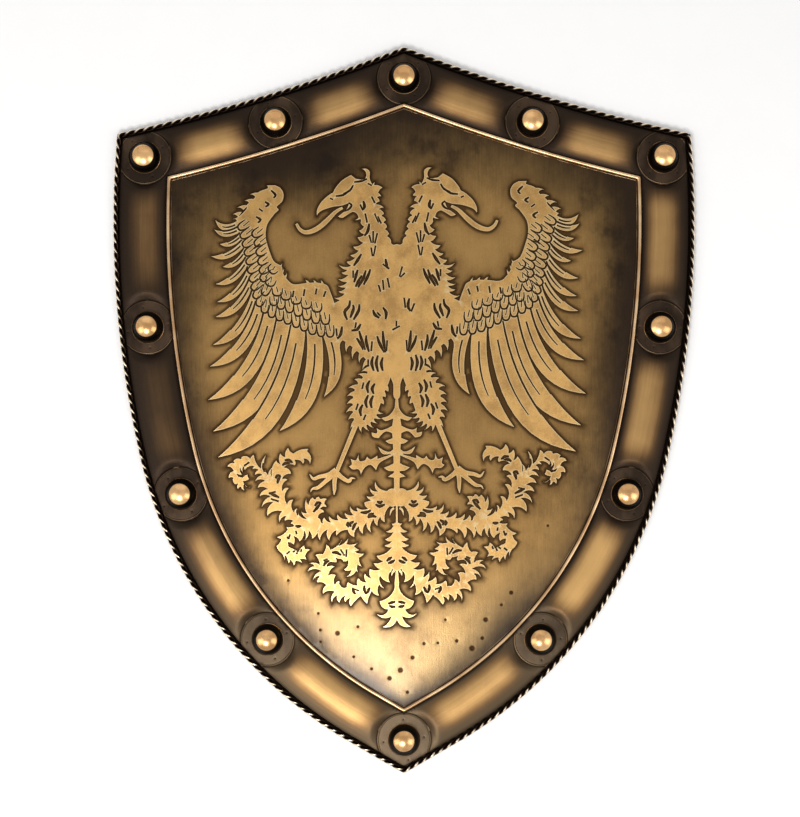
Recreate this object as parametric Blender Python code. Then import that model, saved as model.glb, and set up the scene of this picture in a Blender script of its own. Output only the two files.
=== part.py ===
import math

import bmesh
import bpy
from mathutils import Vector
from mathutils.geometry import delaunay_2d_cdt

# A decorative heater shield that lies on its back: +X to its right, +Y to its top, +Z up through its
# face. The origin is in the middle of its back plane, at half its height. Metres throughout.

# Outline of the whole shield, over the twisted wire: each side is a wide arc, a tighter arc and a straight
# run to the tip, and each half of the top sags a little
SHIELD_HEIGHT = 0.600
SHIELD_WIDTH = 0.480
WIDEST_HEIGHT = 0.1545
UPPER_SIDE_RADIUS = 0.860
UPPER_SIDE_TURN = math.radians(13.2)
TIP_RUN = 0.0524
CORNER_DROP = 0.0718
TOP_SAG = 0.005

# Sheet and clearances
SHEET = 0.0012
GAP = 0.0003

# Twisted wire along the edge, kept as one plain tube
ROPE_DIAMETER = 0.0048
ROPE_SIDES = 6

# Border band: a narrow flange under the wire, a steep wall, then a rolled face
FLANGE_INSET = 0.0006
WALL_GAP = 0.0008
WALL_RUN = 0.0006
BAND_REACH = 0.0440
BAND_EDGE_LEVEL = 0.0048
BAND_ROLL = 0.0042

# Stud seats pressed flat into the band
SEAT_RADIUS = 0.0208
SEAT_BLEND = 0.0085
SEAT_SIDES = 16
ROLL_SPANS = 4
TOP_STUD_SPANS = 2
SIDE_STUD_SPANS = 4

# Domed studs, riveted through the band
STUD_RADIUS = 0.0128
STUD_SHANK_RADIUS = 0.0026
STUD_HOLE_PLAY = 0.0004
STUD_TAIL_RADIUS = 0.0044
STUD_TAIL_HEIGHT = 0.0016
STUD_SIDES = 10
STUD_DOME_STEPS = 4
HOLE_SIDES = 8

# Raised bead where the field meets the band
BEAD_DIAMETER = 0.0030
BEAD_SIDES = 5

# Domed field with the relief raised on it
FIELD_LAP = 0.0060
FIELD_MARGIN = 0.0036
FIELD_RISE = 0.0160
DOME_SOFTNESS = 0.30
RELIEF_HEIGHT = 0.0009
SUPPORT_GRID = 0.034
UNDERSIDE_GRID = 0.044
WELD_REACH = 0.0008
CDT_REACH = 1e-7

# Relief, drawn on a grid of its own: steps from its centre line and up from its foot
RELIEF_SPAN = 0.3763
RELIEF_STEPS = 462
RELIEF_FOOT = -0.1790
RELIEF_SHIFT = -0.0056
RELIEF_SPREAD_LIFT = 1 / 60
RELIEF_SKEW = 1 / 60

# Stations along one half of the outline, in the solids and where it is only measured: along the top, the
# upper side, the lower side and the straight run to the tip
TOP_STATIONS = 4
UPPER_STATIONS = 5
LOWER_STATIONS = 7
TIP_STATIONS = 2
FINE_TOP = 24
FINE_STATIONS = (FINE_TOP, 24, 40, 12)

# Shading and colours: red, green, blue and roughness
WIRE_SMOOTH_ANGLE = math.radians(75)
STUD_SMOOTH_ANGLE = math.radians(40)
BRASS_FINISHES = {
    "aged_brass_field": (0.45, 0.31, 0.13, 0.38),
    "aged_brass_band": (0.36, 0.25, 0.11, 0.38),
    "bright_brass": (0.80, 0.62, 0.32, 0.25),
    "dark_brass_wire": (0.10, 0.07, 0.04, 0.40),
    "polished_brass": (0.83, 0.60, 0.28, 0.20),
}


# Outline of the shield at any distance in from its edge
def top_circle():
    apex = Vector((0.0, SHIELD_HEIGHT / 2))
    corner_height = SHIELD_HEIGHT / 2 - CORNER_DROP
    corner = Vector((side_reach_above(corner_height), corner_height))
    chord = (corner - apex).length
    radius = chord ** 2 / (8 * TOP_SAG) + TOP_SAG / 2
    along = (corner - apex) / chord
    out = Vector((-along.y, along.x))
    return (apex + corner) / 2 + out * (radius - TOP_SAG), radius


def side_reach_above(height):
    rise = height - WIDEST_HEIGHT
    return SHIELD_WIDTH / 2 - UPPER_SIDE_RADIUS + math.sqrt(UPPER_SIDE_RADIUS ** 2 - rise ** 2)


def upper_centre():
    return Vector((SHIELD_WIDTH / 2 - UPPER_SIDE_RADIUS, WIDEST_HEIGHT))


def lower_side():
    # Centre and radius of the arc that leaves the upper one without a kink and ends a straight run from the tip
    outward = Vector((math.cos(UPPER_SIDE_TURN), -math.sin(UPPER_SIDE_TURN)))
    joint = upper_centre() + outward * UPPER_SIDE_RADIUS
    to_tip = Vector((0.0, -SHIELD_HEIGHT / 2)) - joint
    radius = (to_tip.length_squared - TIP_RUN ** 2) / (-2 * outward.dot(to_tip))
    return joint - outward * radius, radius


def tip_slope():
    centre, radius = lower_side()
    to_centre = centre - Vector((0.0, -SHIELD_HEIGHT / 2))
    return math.atan2(to_centre.y, to_centre.x) - math.atan2(radius, TIP_RUN)


def corner_point(inset):
    # Where the top circle, grown by the inset, crosses the upper side circle, shrunk by it
    top, top_radius = top_circle()
    side, side_radius = upper_centre(), UPPER_SIDE_RADIUS - inset
    top_radius += inset
    apart = (side - top).length
    share = (top_radius ** 2 - side_radius ** 2 + apart ** 2) / (2 * apart)
    half = math.sqrt(top_radius ** 2 - share ** 2)
    along = (side - top) / apart
    across = Vector((-along.y, along.x))
    spots = (top + along * share + across * half, top + along * share - across * half)
    return max((spot for spot in spots if spot.y > WIDEST_HEIGHT - SHIELD_WIDTH), key=lambda spot: spot.x)


def arc(centre, radius, first, last, stations):
    turns = [first + (last - first) * step / stations for step in range(stations)]
    return [Vector((centre.x + radius * math.cos(turn), centre.y + radius * math.sin(turn))) for turn in turns]


def heading(centre, spot):
    return math.atan2(spot.y - centre.y, spot.x - centre.x)


def half_outline(inset, top_stations=TOP_STATIONS, upper_stations=UPPER_STATIONS, lower_stations=LOWER_STATIONS,
                 tip_stations=TIP_STATIONS):
    top, top_radius = top_circle()
    corner = corner_point(inset)
    apex = Vector((0.0, top.y - math.sqrt((top_radius + inset) ** 2 - top.x ** 2)))
    slope = tip_slope()
    tip = Vector((0.0, -SHIELD_HEIGHT / 2 + inset / math.cos(slope)))
    last_turn = slope - math.pi / 2
    points = arc(top, top_radius + inset, heading(top, apex), heading(top, corner), top_stations)
    points += arc(upper_centre(), UPPER_SIDE_RADIUS - inset, heading(upper_centre(), corner), -UPPER_SIDE_TURN,
                  upper_stations)
    lower_centre, lower_radius = lower_side()
    points += arc(lower_centre, lower_radius - inset, -UPPER_SIDE_TURN, last_turn, lower_stations)
    end = lower_centre + (lower_radius - inset) * Vector((math.cos(last_turn), math.sin(last_turn)))
    points += [end.lerp(tip, step / tip_stations) for step in range(tip_stations)]
    points.append(tip)
    return points


def inset_of(point):
    # How far in from the edge a point lies, measured to the arcs themselves
    spot = Vector((abs(point.x), point.y))
    top, top_radius = top_circle()
    centre, radius = lower_side()
    slope = tip_slope()
    if heading(upper_centre(), spot) > -UPPER_SIDE_TURN:
        from_side = UPPER_SIDE_RADIUS - (spot - upper_centre()).length
    elif heading(centre, spot) > slope - math.pi / 2:
        from_side = radius - (spot - centre).length
    else:
        from_side = (spot.y + SHIELD_HEIGHT / 2) * math.cos(slope) - spot.x * math.sin(slope)
    return min((spot - top).length - top_radius, from_side)


def full_outline(inset):
    # Clockwise from the apex, seen from above
    right = half_outline(inset)
    left = [Vector((-point.x, point.y)) for point in reversed(right[1:-1])]
    return right + left


# Heights over the plan
BAND_OUTER = ROPE_DIAMETER + WALL_GAP
BAND_FACE = BAND_OUTER + WALL_RUN
STUD_INSET = (FLANGE_INSET + ROPE_DIAMETER + BAND_REACH) / 2
FIELD_LEVEL = BAND_EDGE_LEVEL - SHEET - GAP
BEAD_INSET = BAND_REACH + GAP + BEAD_DIAMETER / 2
DOME_INSET = BAND_REACH + FIELD_MARGIN
DOME_LINE = half_outline(DOME_INSET, *FINE_STATIONS)


def stud_places():
    edge = half_outline(STUD_INSET, *FINE_STATIONS)
    top_edge, side_edge = edge[:FINE_TOP + 1], edge[FINE_TOP:]
    places = [place_along(top_edge, step / TOP_STUD_SPANS) for step in range(TOP_STUD_SPANS)]
    places += [place_along(side_edge, step / SIDE_STUD_SPANS) for step in range(SIDE_STUD_SPANS + 1)]
    right = [place for place in places if place.x > GAP]
    left = [Vector((-place.x, place.y)) for place in reversed(right)]
    return [places[0]] + right + [places[-1]] + left


def place_along(points, share):
    lengths = [(after - before).length for before, after in zip(points, points[1:])]
    left = share * sum(lengths)
    for before, after, length in zip(points, points[1:], lengths):
        if left <= length:
            return before.lerp(after, left / length)
        left -= length
    return points[-1].copy()


STUDS = stud_places()


def side_reach(height):
    # Half the width inside the bead; above the corners its side curve simply runs on
    if height > DOME_LINE[FINE_TOP].y:
        rise = height - WIDEST_HEIGHT
        return upper_centre().x + math.sqrt((UPPER_SIDE_RADIUS - DOME_INSET) ** 2 - rise ** 2)
    for before, after in zip(DOME_LINE[FINE_TOP:], DOME_LINE[FINE_TOP + 1:]):
        if after.y <= height <= before.y:
            return before.x + (after.x - before.x) * (before.y - height) / (before.y - after.y)
    return 0.0


def top_reach(across):
    soft = math.sqrt(across ** 2 + DOME_INSET ** 2 / 4)
    for before, after in zip(DOME_LINE[:FINE_TOP], DOME_LINE[1:FINE_TOP + 1]):
        if before.x <= soft <= after.x:
            return before.y + (after.y - before.y) * (soft - before.x) / (after.x - before.x)
    return DOME_LINE[FINE_TOP].y


def dome_share(point):
    # Nought along the bead and one where the field stands highest
    width = side_reach(point.y)
    span = top_reach(0.0) - DOME_LINE[-1].y
    across = max(width ** 2 - point.x ** 2, 0.0) / DOME_LINE[FINE_TOP].x ** 2
    return across * max(top_reach(point.x) - point.y, 0.0) / span


DOME_PEAK = max(dome_share(Vector((0.0, SHIELD_HEIGHT * step / 100))) for step in range(-40, 40))


def field_top(point):
    share = dome_share(point) / DOME_PEAK
    swell = math.sqrt(share + DOME_SOFTNESS ** 2) - DOME_SOFTNESS
    full = math.sqrt(1 + DOME_SOFTNESS ** 2) - DOME_SOFTNESS
    return FIELD_LEVEL + FIELD_RISE * min(swell / full, 1.0)


def roll_level(share):
    return BAND_EDGE_LEVEL + BAND_ROLL * math.sin(math.pi * min(max(share, 0.0), 1.0))


def seat_blend(point):
    away = min((point - stud).length for stud in STUDS) - SEAT_RADIUS
    share = min(max(away / SEAT_BLEND, 0.0), 1.0)
    return share * share * (3 - 2 * share)


def distance_to_loop(point, loop):
    nearest = float("inf")
    for a, b in zip(loop, loop[1:] + loop[:1]):
        along = b - a
        share = min(max((point - a).dot(along) / along.length_squared, 0.0), 1.0)
        nearest = min(nearest, (point - a - along * share).length)
    return nearest


def band_height(point, shift):
    # Of the upper side, or of the lower side when the shift is the sheet's thickness
    inset = inset_of(point)
    on_outer_half = inset < BAND_REACH / 2
    roll = roll_level(((inset - shift if on_outer_half else inset) - BAND_FACE) / (BAND_REACH - BAND_FACE))
    face = BAND_EDGE_LEVEL + (roll - BAND_EDGE_LEVEL) * seat_blend(point)
    wall = min(max((inset - BAND_OUTER - shift) / WALL_RUN, 0.0), 1.0)
    return SHEET - shift + (face - SHEET) * wall


# Drawing tools for the relief
def lengths_along(points):
    reach = [0.0]
    for here, there in zip(points, points[1:]):
        reach.append(reach[-1] + math.dist(here, there))
    return reach


def spot_along(points, share):
    reach = lengths_along(points)
    goal = share * reach[-1]
    place = next((index for index in range(1, len(points)) if goal <= reach[index]), len(points) - 1)
    span = reach[place] - reach[place - 1]
    (ax, ay), (bx, by) = points[place - 1], points[place]
    part = (goal - reach[place - 1]) / span
    return (ax + (bx - ax) * part, ay + (by - ay) * part), ((bx - ax) / span, (by - ay) / span)


def smooth(points, steps):
    # A smooth curve through the points
    if steps < 2 or len(points) < 3:
        return list(points)
    full = [points[0], *points, points[-1]]
    made = []
    for place in range(1, len(full) - 2):
        for step in range(steps):
            t = step / steps
            made.append(tuple(
                b + 0.5 * t * (c - a + t * (2 * a - 5 * b + 4 * c - d + t * (3 * (b - c) + d - a)))
                for a, b, c, d in zip(*full[place - 1:place + 3])
            ))
    return made + [points[-1]]


def bow(start, end, belly, steps, place=0.5):
    # From start to end, swelling to the right of the way there; the end itself is left out
    dx, dy = end[0] - start[0], end[1] - start[1]
    handle = (start[0] + dx * place + dy * 2 * belly, start[1] + dy * place - dx * 2 * belly)
    shares = [step / steps for step in range(steps)]
    return [
        tuple(a * (1 - t) ** 2 + 2 * h * t * (1 - t) + b * t * t for a, h, b in zip(start, handle, end))
        for t in shares
    ]


def trace(*runs, steps=1):
    # A closed outline of smooth runs that meet at sharp corners
    made = []
    for run in runs:
        line = smooth(run, steps)
        made += line[1:] if made and made[-1] == line[0] else line
    return made[:-1] if made[0] == made[-1] else made


def ribbon(points, widths, steps=1):
    # A strip along a smooth curve, whose width changes evenly through the widths
    line = smooth(points, steps)
    reach = lengths_along(line)
    left, right = [], []
    for place, (x, y) in enumerate(line):
        share = reach[place] / reach[-1] * (len(widths) - 1)
        low = min(int(share), len(widths) - 2)
        half = (widths[low] + (widths[low + 1] - widths[low]) * (share - low)) / 2
        (ax, ay), (bx, by) = line[max(place - 1, 0)], line[min(place + 1, len(line) - 1)]
        span = math.dist((ax, ay), (bx, by))
        left.append((x - (by - ay) / span * half, y + (bx - ax) / span * half))
        right.append((x + (by - ay) / span * half, y - (bx - ax) / span * half))
    return left, right


def strip(points, widths, steps=1):
    left, right = ribbon(points, widths, steps)
    return left + right[::-1]


def barbs(path, count, length, lean, side=1, wide=0.9):
    # Pointed tufts along a path, on its left for side 1, that lean along the way by an angle
    sink = 1.5
    half = lengths_along(path)[-1] / count * wide / 2
    made = []
    for number in range(count):
        (x, y), (tx, ty) = spot_along(path, (number + 0.5) / count)
        nx, ny = -ty * side, tx * side
        out, on = length * math.cos(lean), length * math.sin(lean)
        made.append([
            (x - tx * half - nx * sink, y - ty * half - ny * sink),
            (x + tx * half - nx * sink, y + ty * half - ny * sink),
            (x + nx * out + tx * on, y + ny * out + ty * on),
        ])
    return made


def fringed(points, widths, count, length, steps=1):
    # A leafy stem: a strip with tufts down both of its sides
    left, right = ribbon(points, widths, steps)
    return [left + right[::-1]] + barbs(left, count, length, -0.5, 1) + barbs(right, count, length, -0.5, -1)


# The double-headed eagle, right half
WING_TIPS = (
    (182, 409), (183, 399.5), (178, 385), (186, 372.5), (175, 362), (181.5, 344.5), (180, 326.5),
    (181.5, 311.5), (184, 283.5), (187, 262), (189, 228.5), (184, 197), (179, 171), (117, 197), (72.5, 231),
)
COVERT_EDGE = (
    (160.5, 408), (155.5, 390), (151, 371), (146, 345), (140.5, 326), (132, 315), (120, 309), (100, 301),
    (80, 292.5), (60, 291),
)
FEATHER_PITCH = 5.2
FEATHER_GROWTH = 0.45
FEATHER_EDGE_STEPS = 3
HORN_EDGE_STEPS = 2


def wing_feathers():
    reach = lengths_along(COVERT_EDGE)[-1]
    roots = [
        spot_along(COVERT_EDGE, min(FEATHER_PITCH * number + FEATHER_GROWTH * number ** 2, reach) / reach)[0]
        for number in range(len(WING_TIPS) + 1)
    ]
    made = []
    for number, tip in enumerate(WING_TIPS):
        outer, inner = roots[number], roots[number + 1]
        curl = math.exp(-number)
        made.append(
            bow(outer, tip, 0.09 + 0.08 * curl, FEATHER_EDGE_STEPS)
            + bow(tip, inner, -0.19 - 0.14 * curl, FEATHER_EDGE_STEPS, 0.36)
            + [inner, ((outer[0] + inner[0]) / 2 - 3, (outer[1] + inner[1]) / 2 + 3)]
        )
    return made


def wing_arm():
    return trace(
        [(62, 325), (66.5, 337), (71, 344), (91, 345), (103, 344)],
        [(103, 344), (113.5, 355), (123, 367.5), (131, 392), (122, 415)],
        [(122, 415), (118, 419), (114, 428), (116.5, 441), (131, 444)],
        [(131, 444), (142, 434.5), (150.5, 424.5), (164.5, 409.5)],
        [(164.5, 409.5), *COVERT_EDGE],
        [COVERT_EDGE[-1], (62, 325)],
    )


def head_and_body():
    return trace(
        [(0, 384), (4, 385), (10.5, 396), (15, 413), (20.5, 427), (14, 437)],
        [(14, 437), (14.5, 441), (24, 444), (32, 449), (41, 450), (46, 454)],
        [(46, 454), (55, 448.5), (64, 436), (72, 430.5), (78.5, 422), (80.2, 412)],
        [(80.2, 412), (75, 417.5), (65, 421), (48, 425)],
        [(48, 425), (50.5, 419), (59.5, 411.5)],
        [(59.5, 411.5), (54.5, 410), (44, 416), (38.5, 410)],
        [(38.5, 410), (34, 403), (37, 386), (42, 371), (48, 357), (52, 340), (62, 325)],
        [(62, 325), (70, 310), (60, 291)],
        [(60, 291), (52, 286), (36, 273), (27.5, 262)],
        [(27.5, 262), (30, 254), (42, 238), (44, 216), (40, 202)],
        [(40, 202), (29, 203), (18, 218), (11, 238), (6.2, 249.5)],
        [(6.2, 249.5), (3.6, 236), (0, 228)],
    )


def horn_and_tongue():
    horn = bow((25, 444), (35.4, 460), -0.34, HORN_EDGE_STEPS)
    horn += bow((35.4, 460), (32, 448), 0.25, HORN_EDGE_STEPS)
    tongue = strip(
        [(53, 420.5), (64, 413), (77.5, 401), (86, 396.5), (94, 396), (100.5, 405)], (3.5, 5, 5.5, 5, 3.5)
    )
    return [horn + [(32, 448)], tongue]


def plumage():
    made = barbs([(6, 388), (10.5, 396), (15, 413), (20, 426)], 5, 4.5, -0.5)
    made += barbs([(34, 405), (34.5, 394), (38, 382), (44, 367)], 4, 8, 0.7)
    made += barbs([(45, 365), (49, 352), (54, 334)], 4, 12, 0.3)
    made += barbs([(56, 289), (44, 280), (30, 266)], 3, 9, 0.6, wide=0.7)
    made += barbs([(30, 255), (37, 247), (42.5, 236), (44, 220), (41, 205)], 6, 7, 0.7)
    made += barbs([(37, 202), (28, 204), (19, 216)], 3, 7, 0.2)
    return made + barbs([(16, 224), (9, 242)], 2, 5, -0.8)


def leg_and_claws():
    foot = (61, 155)
    toes = (
        ((70, 152.5), (80, 150.5), (87, 154.5)),
        ((70, 147.5), (79, 140), (87, 136)),
        ((62, 146), (62, 134)),
        ((54, 150), (47, 147), (41, 150)),
    )
    made = [strip([(40.5, 203), foot], (5, 5))]
    return made + [strip([foot, *toe], (6.5, 5, 4.5, 1)) for toe in toes]


# The leafy tree between the legs and the scrolls at its foot, right half
VINE = (
    (4, 128), (28, 114.5), (50, 107), (68, 102.5), (83, 104.5), (96, 107), (108, 116), (118, 130), (125, 144.5),
    (141, 162), (150, 167), (159, 164.5), (163, 156), (159, 147), (151, 145),
)
HOOK = ((96, 108), (108, 102), (115, 93), (114, 81), (104, 73), (94, 74), (86, 80))
SCROLL = (
    (3, 65), (22, 57), (34, 43), (47, 37), (60, 39), (71, 49), (76, 62), (69, 74), (56, 79), (44, 74), (41, 63),
    (47, 55),
)


# Plain leaves of the stem: the tip, where the leaf's upper edge leaves the middle, and how far below it the
# lower edge comes back
TREE_LEAVES = (
    ((15.6, 210), 226, 17), ((12, 187), 193, 9), ((19.2, 182), 184, 9), ((13.4, 160.5), 168, 11),
    ((9.6, 151.2), 157, 9), ((21, 74), 84, 18),
)


def tree():
    made = [strip([(0, 229), (0, 200), (0, 160), (0, 130), (0, 108)], (3, 11, 7, 9, 2))]
    for (x, y), root, drop in TREE_LEAVES:
        upper, lower = (x * 0.45, y + (root - y) * 0.25), (x * 0.5, root - drop + 2)
        made.append([(0, root), upper, (x, y), lower, (0, root - drop)])
    made.append([(0, 205), (9, 200.5), (20.5, 200.5), (19, 197), (25.5, 196), (17, 189.5), (12, 195), (0, 192)])
    made.append([(0, 181), (12, 172), (29.5, 172), (38, 174), (46.4, 170), (48, 162), (38, 158.5), (35.7, 153),
                 (31, 160.5), (20.5, 157.5), (15, 166), (0, 175)])
    made.append([(0, 110), (4.5, 98), (7, 82), (8, 70), (0, 62)])
    made += barbs([(3, 104), (5, 94), (7, 82)], 3, 8, 0.35)
    made.append([(0, 62), (3.5, 37), (8, 29.5), (17.5, 27.5), (14, 22), (8, 20.5), (12, 14.5), (19.6, 15),
                 (15, 8.5), (7, 11), (14, 1), (6, 0.5), (0, 10)])
    return made


def foliage():
    made = fringed(VINE, (15, 10, 9, 9, 8, 5), 15, 9)
    made += fringed(SCROLL, (13, 11, 10, 9, 5), 12, 8)
    made += fringed(HOOK, (9, 8, 6, 2), 6, 7)
    made += fringed([(121, 135), (115, 152), (104, 168), (87, 177)], (8, 9, 13, 6), 4, 8)
    made += fringed([(88, 104), (81, 117), (73, 131)], (9, 9, 4), 3, 7)
    made.append([(0, 140), (12, 138), (22.5, 147), (24, 137), (30, 133), (18, 124), (0, 126)])
    return made


def relief_shapes():
    half = [wing_arm(), head_and_body(), *wing_feathers(), *horn_and_tongue(), *plumage(), *leg_and_claws()]
    half += tree() + foliage()
    step = RELIEF_SPAN / RELIEF_STEPS
    shapes = []
    for side in (1, -1):
        for shape in half:
            shapes.append([
                Vector((
                    RELIEF_SHIFT + side * u * step,
                    RELIEF_FOOT + (v + u * (RELIEF_SPREAD_LIFT + side * RELIEF_SKEW)) * step,
                ))
                for u, v in shape
            ])
    return shapes


# From plan to sheet
def joined_edges(shapes):
    # The border of all the shapes taken together, as corners and the edges between them
    corners = [point for shape in shapes for point in shape]
    faces, start = [], 0
    for shape in shapes:
        order = list(range(start, start + len(shape)))
        area = sum(a.cross(b) for a, b in zip(shape, shape[1:] + shape[:1]))
        faces.append(order if area > 0 else order[::-1])
        start += len(shape)
    verts, _, triangles, _, _, origins = delaunay_2d_cdt(corners, [], faces, 1, CDT_REACH)
    uses = {}
    for triangle, origin in zip(triangles, origins):
        if origin:
            for a, b in zip(triangle, triangle[1:] + triangle[:1]):
                key = (min(a, b), max(a, b))
                uses[key] = uses.get(key, 0) + 1
    return verts, [key for key, count in uses.items() if count == 1]


def weld(verts, edges, reach):
    # Corners closer than the reach become one, so that no sliver is left in the border
    used = sorted({corner for edge in edges for corner in edge})
    home = {}
    kept = []
    for corner in used:
        near = next((place for place in kept if (verts[place] - verts[corner]).length < reach), None)
        home[corner] = corner if near is None else near
        if near is None:
            kept.append(corner)
    parity = {}
    for a, b in edges:
        a, b = home[a], home[b]
        if a != b:
            key = (min(a, b), max(a, b))
            parity[key] = not parity.get(key, False)
    left = [key for key, odd in parity.items() if odd]
    return verts, left


def plan(loops, lines, spots):
    # Triangles over the area inside the first loop, less that inside the other loops
    points, edges = [], []
    for loop in [*loops, *lines]:
        start, count = len(points), len(loop)
        points += loop
        edges += [(start + index, start + (index + 1) % count) for index in range(count)]
    points += spots
    verts, _, triangles, _, _, _ = delaunay_2d_cdt(points, edges, [], 1, CDT_REACH)
    return verts, triangles


def inside(point, loop):
    crossings = 0
    for a, b in zip(loop, loop[1:] + loop[:1]):
        if (a.y > point.y) != (b.y > point.y) and point.x < a.x + (b.x - a.x) * (point.y - a.y) / (b.y - a.y):
            crossings += 1
    return crossings % 2 == 1


def support_spots(loop, grid, keep_off=None):
    spots = []
    rows = int(SHIELD_HEIGHT / grid)
    for row in range(-rows, rows + 1):
        for column in range(-rows, rows + 1):
            spot = Vector(((column + 0.5 * (row % 2)) * grid, row * grid * math.sqrt(3) / 2))
            if not inside(spot, loop) or min((spot - corner).length for corner in loop) < grid / 2:
                continue
            if keep_off and min((spot - corner).length for corner in keep_off) < grid / 4:
                continue
            spots.append(spot)
    return spots


def add_sheet(mesh, verts, heights, triangles, upward):
    made = [mesh.verts.new((vert.x, vert.y, height)) for vert, height in zip(verts, heights)]
    faces = []
    for triangle in triangles:
        a, b, c = (verts[index] for index in triangle)
        if ((b - a).cross(c - a) > 0) != upward:
            triangle = triangle[::-1]
        faces.append(mesh.faces.new([made[index] for index in triangle]))
    return faces


def close_rims(mesh):
    # Joins the open edges of the upper sheet to those right under them on the lower one
    open_edges = [edge for edge in mesh.edges if edge.is_boundary]

    def key(vert):
        return round(vert.co.x * 1e6), round(vert.co.y * 1e6)

    below, above = {}, []
    for edge in open_edges:
        if edge.link_faces[0].normal.z < 0:
            below.update({key(vert): vert for vert in edge.verts})
        else:
            above.append(edge)
    for edge in above:
        loop = edge.link_loops[0]
        first, second = loop.vert, loop.link_loop_next.vert
        mesh.faces.new((second, first, below[key(first)], below[key(second)]))


def finish_object(name, mesh, material, collection, smooth_angle=None):
    bmesh.ops.triangulate(mesh, faces=mesh.faces)
    bmesh.ops.recalc_face_normals(mesh, faces=mesh.faces)
    data = bpy.data.meshes.new(name)
    mesh.to_mesh(data)
    mesh.free()
    data.materials.append(material)
    if smooth_angle:
        data.shade_smooth()
        data.set_sharp_from_angle(angle=smooth_angle)
    made = bpy.data.objects.new(name, data)
    collection.objects.link(made)
    return made


# The pieces
def build_field(material, collection):
    rim = full_outline(BAND_REACH - FIELD_LAP)
    bead_line = full_outline(DOME_INSET)
    verts, edges = weld(*joined_edges(relief_shapes()), WELD_REACH)
    corners = sorted({corner for edge in edges for corner in edge})
    number = {corner: index for index, corner in enumerate(corners)}
    border = [verts[corner] for corner in corners]
    spots = support_spots(bead_line, SUPPORT_GRID, border)
    points = rim + bead_line + border + spots
    count = len(rim)
    rim_edges = [(index, (index + 1) % count) for index in range(count)]
    line_edges = [(count + index, count + (index + 1) % count) for index in range(count)]
    shift = 2 * count
    border_edges = [(shift + number[a], shift + number[b]) for a, b in edges]
    plan_verts, plan_edges, triangles, _, edge_origins, _ = delaunay_2d_cdt(
        points, rim_edges + line_edges + border_edges, [], 1, CDT_REACH)
    walls = {
        tuple(sorted(edge)) for edge, origins in zip(plan_edges, edge_origins)
        if any(origin >= shift for origin in origins)
    }
    raised = raised_faces(plan_verts, triangles, walls)

    mesh = bmesh.new()
    faces = add_sheet(mesh, plan_verts, [field_top(vert) for vert in plan_verts], triangles, True)
    region = [face for face, up in zip(faces, raised) if up]
    lifted = bmesh.ops.extrude_face_region(mesh, geom=region)["geom"]
    bmesh.ops.delete(mesh, geom=region, context="FACES_ONLY")
    for vert in lifted:
        if isinstance(vert, bmesh.types.BMVert):
            vert.co.z += RELIEF_HEIGHT
    lower_verts, lower_triangles = plan([rim], [bead_line], support_spots(bead_line, UNDERSIDE_GRID))
    add_sheet(mesh, lower_verts, [field_top(vert) - SHEET for vert in lower_verts], lower_triangles, False)
    mesh.normal_update()
    close_rims(mesh)
    return finish_object("field_plate", mesh, material, collection)


def raised_faces(verts, triangles, walls):
    # Walks from the rim: every wall crossed turns ground into relief and back
    sides = {}
    for index, triangle in enumerate(triangles):
        for a, b in zip(triangle, triangle[1:] + triangle[:1]):
            sides.setdefault((min(a, b), max(a, b)), []).append(index)
    first = next(owners[0] for owners in sides.values() if len(owners) == 1)
    state = {first: False}
    queue = [first]
    while queue:
        index = queue.pop()
        triangle = triangles[index]
        for a, b in zip(triangle, triangle[1:] + triangle[:1]):
            key = (min(a, b), max(a, b))
            for other in sides[key]:
                if other not in state:
                    state[other] = state[index] != (key in walls)
                    queue.append(other)
    part_pinches(verts, triangles, state)
    return [state[index] for index in range(len(triangles))]


def part_pinches(verts, triangles, state):
    # Where two raised areas meet in one point only, the ground between them is raised too
    around = {}
    for index, triangle in enumerate(triangles):
        for corner in triangle:
            around.setdefault(corner, []).append(index)
    changed = True
    while changed:
        changed = False
        for corner, owners in around.items():
            rays = {}
            for index in owners:
                for other in triangles[index]:
                    if other != corner:
                        rays.setdefault(other, []).append(state[index])
            turns = sum(1 for pair in rays.values() if len(pair) == 2 and pair[0] != pair[1])
            if turns > 2:
                for index in owners:
                    state[index] = True
                changed = True


def ring_points(centre, radius, sides):
    turns = [2 * math.pi * (index + 0.5) / sides for index in range(sides)]
    return [centre + radius * Vector((math.cos(turn), math.sin(turn))) for turn in turns]


def build_band(material, collection):
    outer, inner = full_outline(FLANGE_INSET), full_outline(BAND_REACH)
    holes = [ring_points(stud, STUD_SHANK_RADIUS + STUD_HOLE_PLAY, HOLE_SIDES) for stud in STUDS]
    mesh = bmesh.new()
    for upward in (True, False):
        shift = 0.0 if upward else SHEET
        foot, head = full_outline(BAND_OUTER + shift), full_outline(BAND_FACE + shift)
        spots = roll_spots() + seat_spots(head, inner)
        verts, triangles = plan([outer, inner, *holes], [foot, head], spots)
        kept = [triangle for triangle in triangles if in_band(verts, triangle, inner, holes)]
        used = sorted({index for triangle in kept for index in triangle})
        order = {index: place for place, index in enumerate(used)}
        heights = [band_height(verts[index], shift) for index in used]
        renumbered = [[order[index] for index in triangle] for triangle in kept]
        add_sheet(mesh, [verts[index] for index in used], heights, renumbered, upward)
    mesh.normal_update()
    close_rims(mesh)
    return finish_object("border_band", mesh, material, collection)


def roll_spots():
    clear = SEAT_RADIUS + SEAT_BLEND
    spots = []
    for step in range(1, ROLL_SPANS):
        line = full_outline(BAND_FACE + (BAND_REACH - BAND_FACE) * step / ROLL_SPANS)
        spots += [spot for spot in line if min((spot - stud).length for stud in STUDS) > clear]
    return spots


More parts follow.
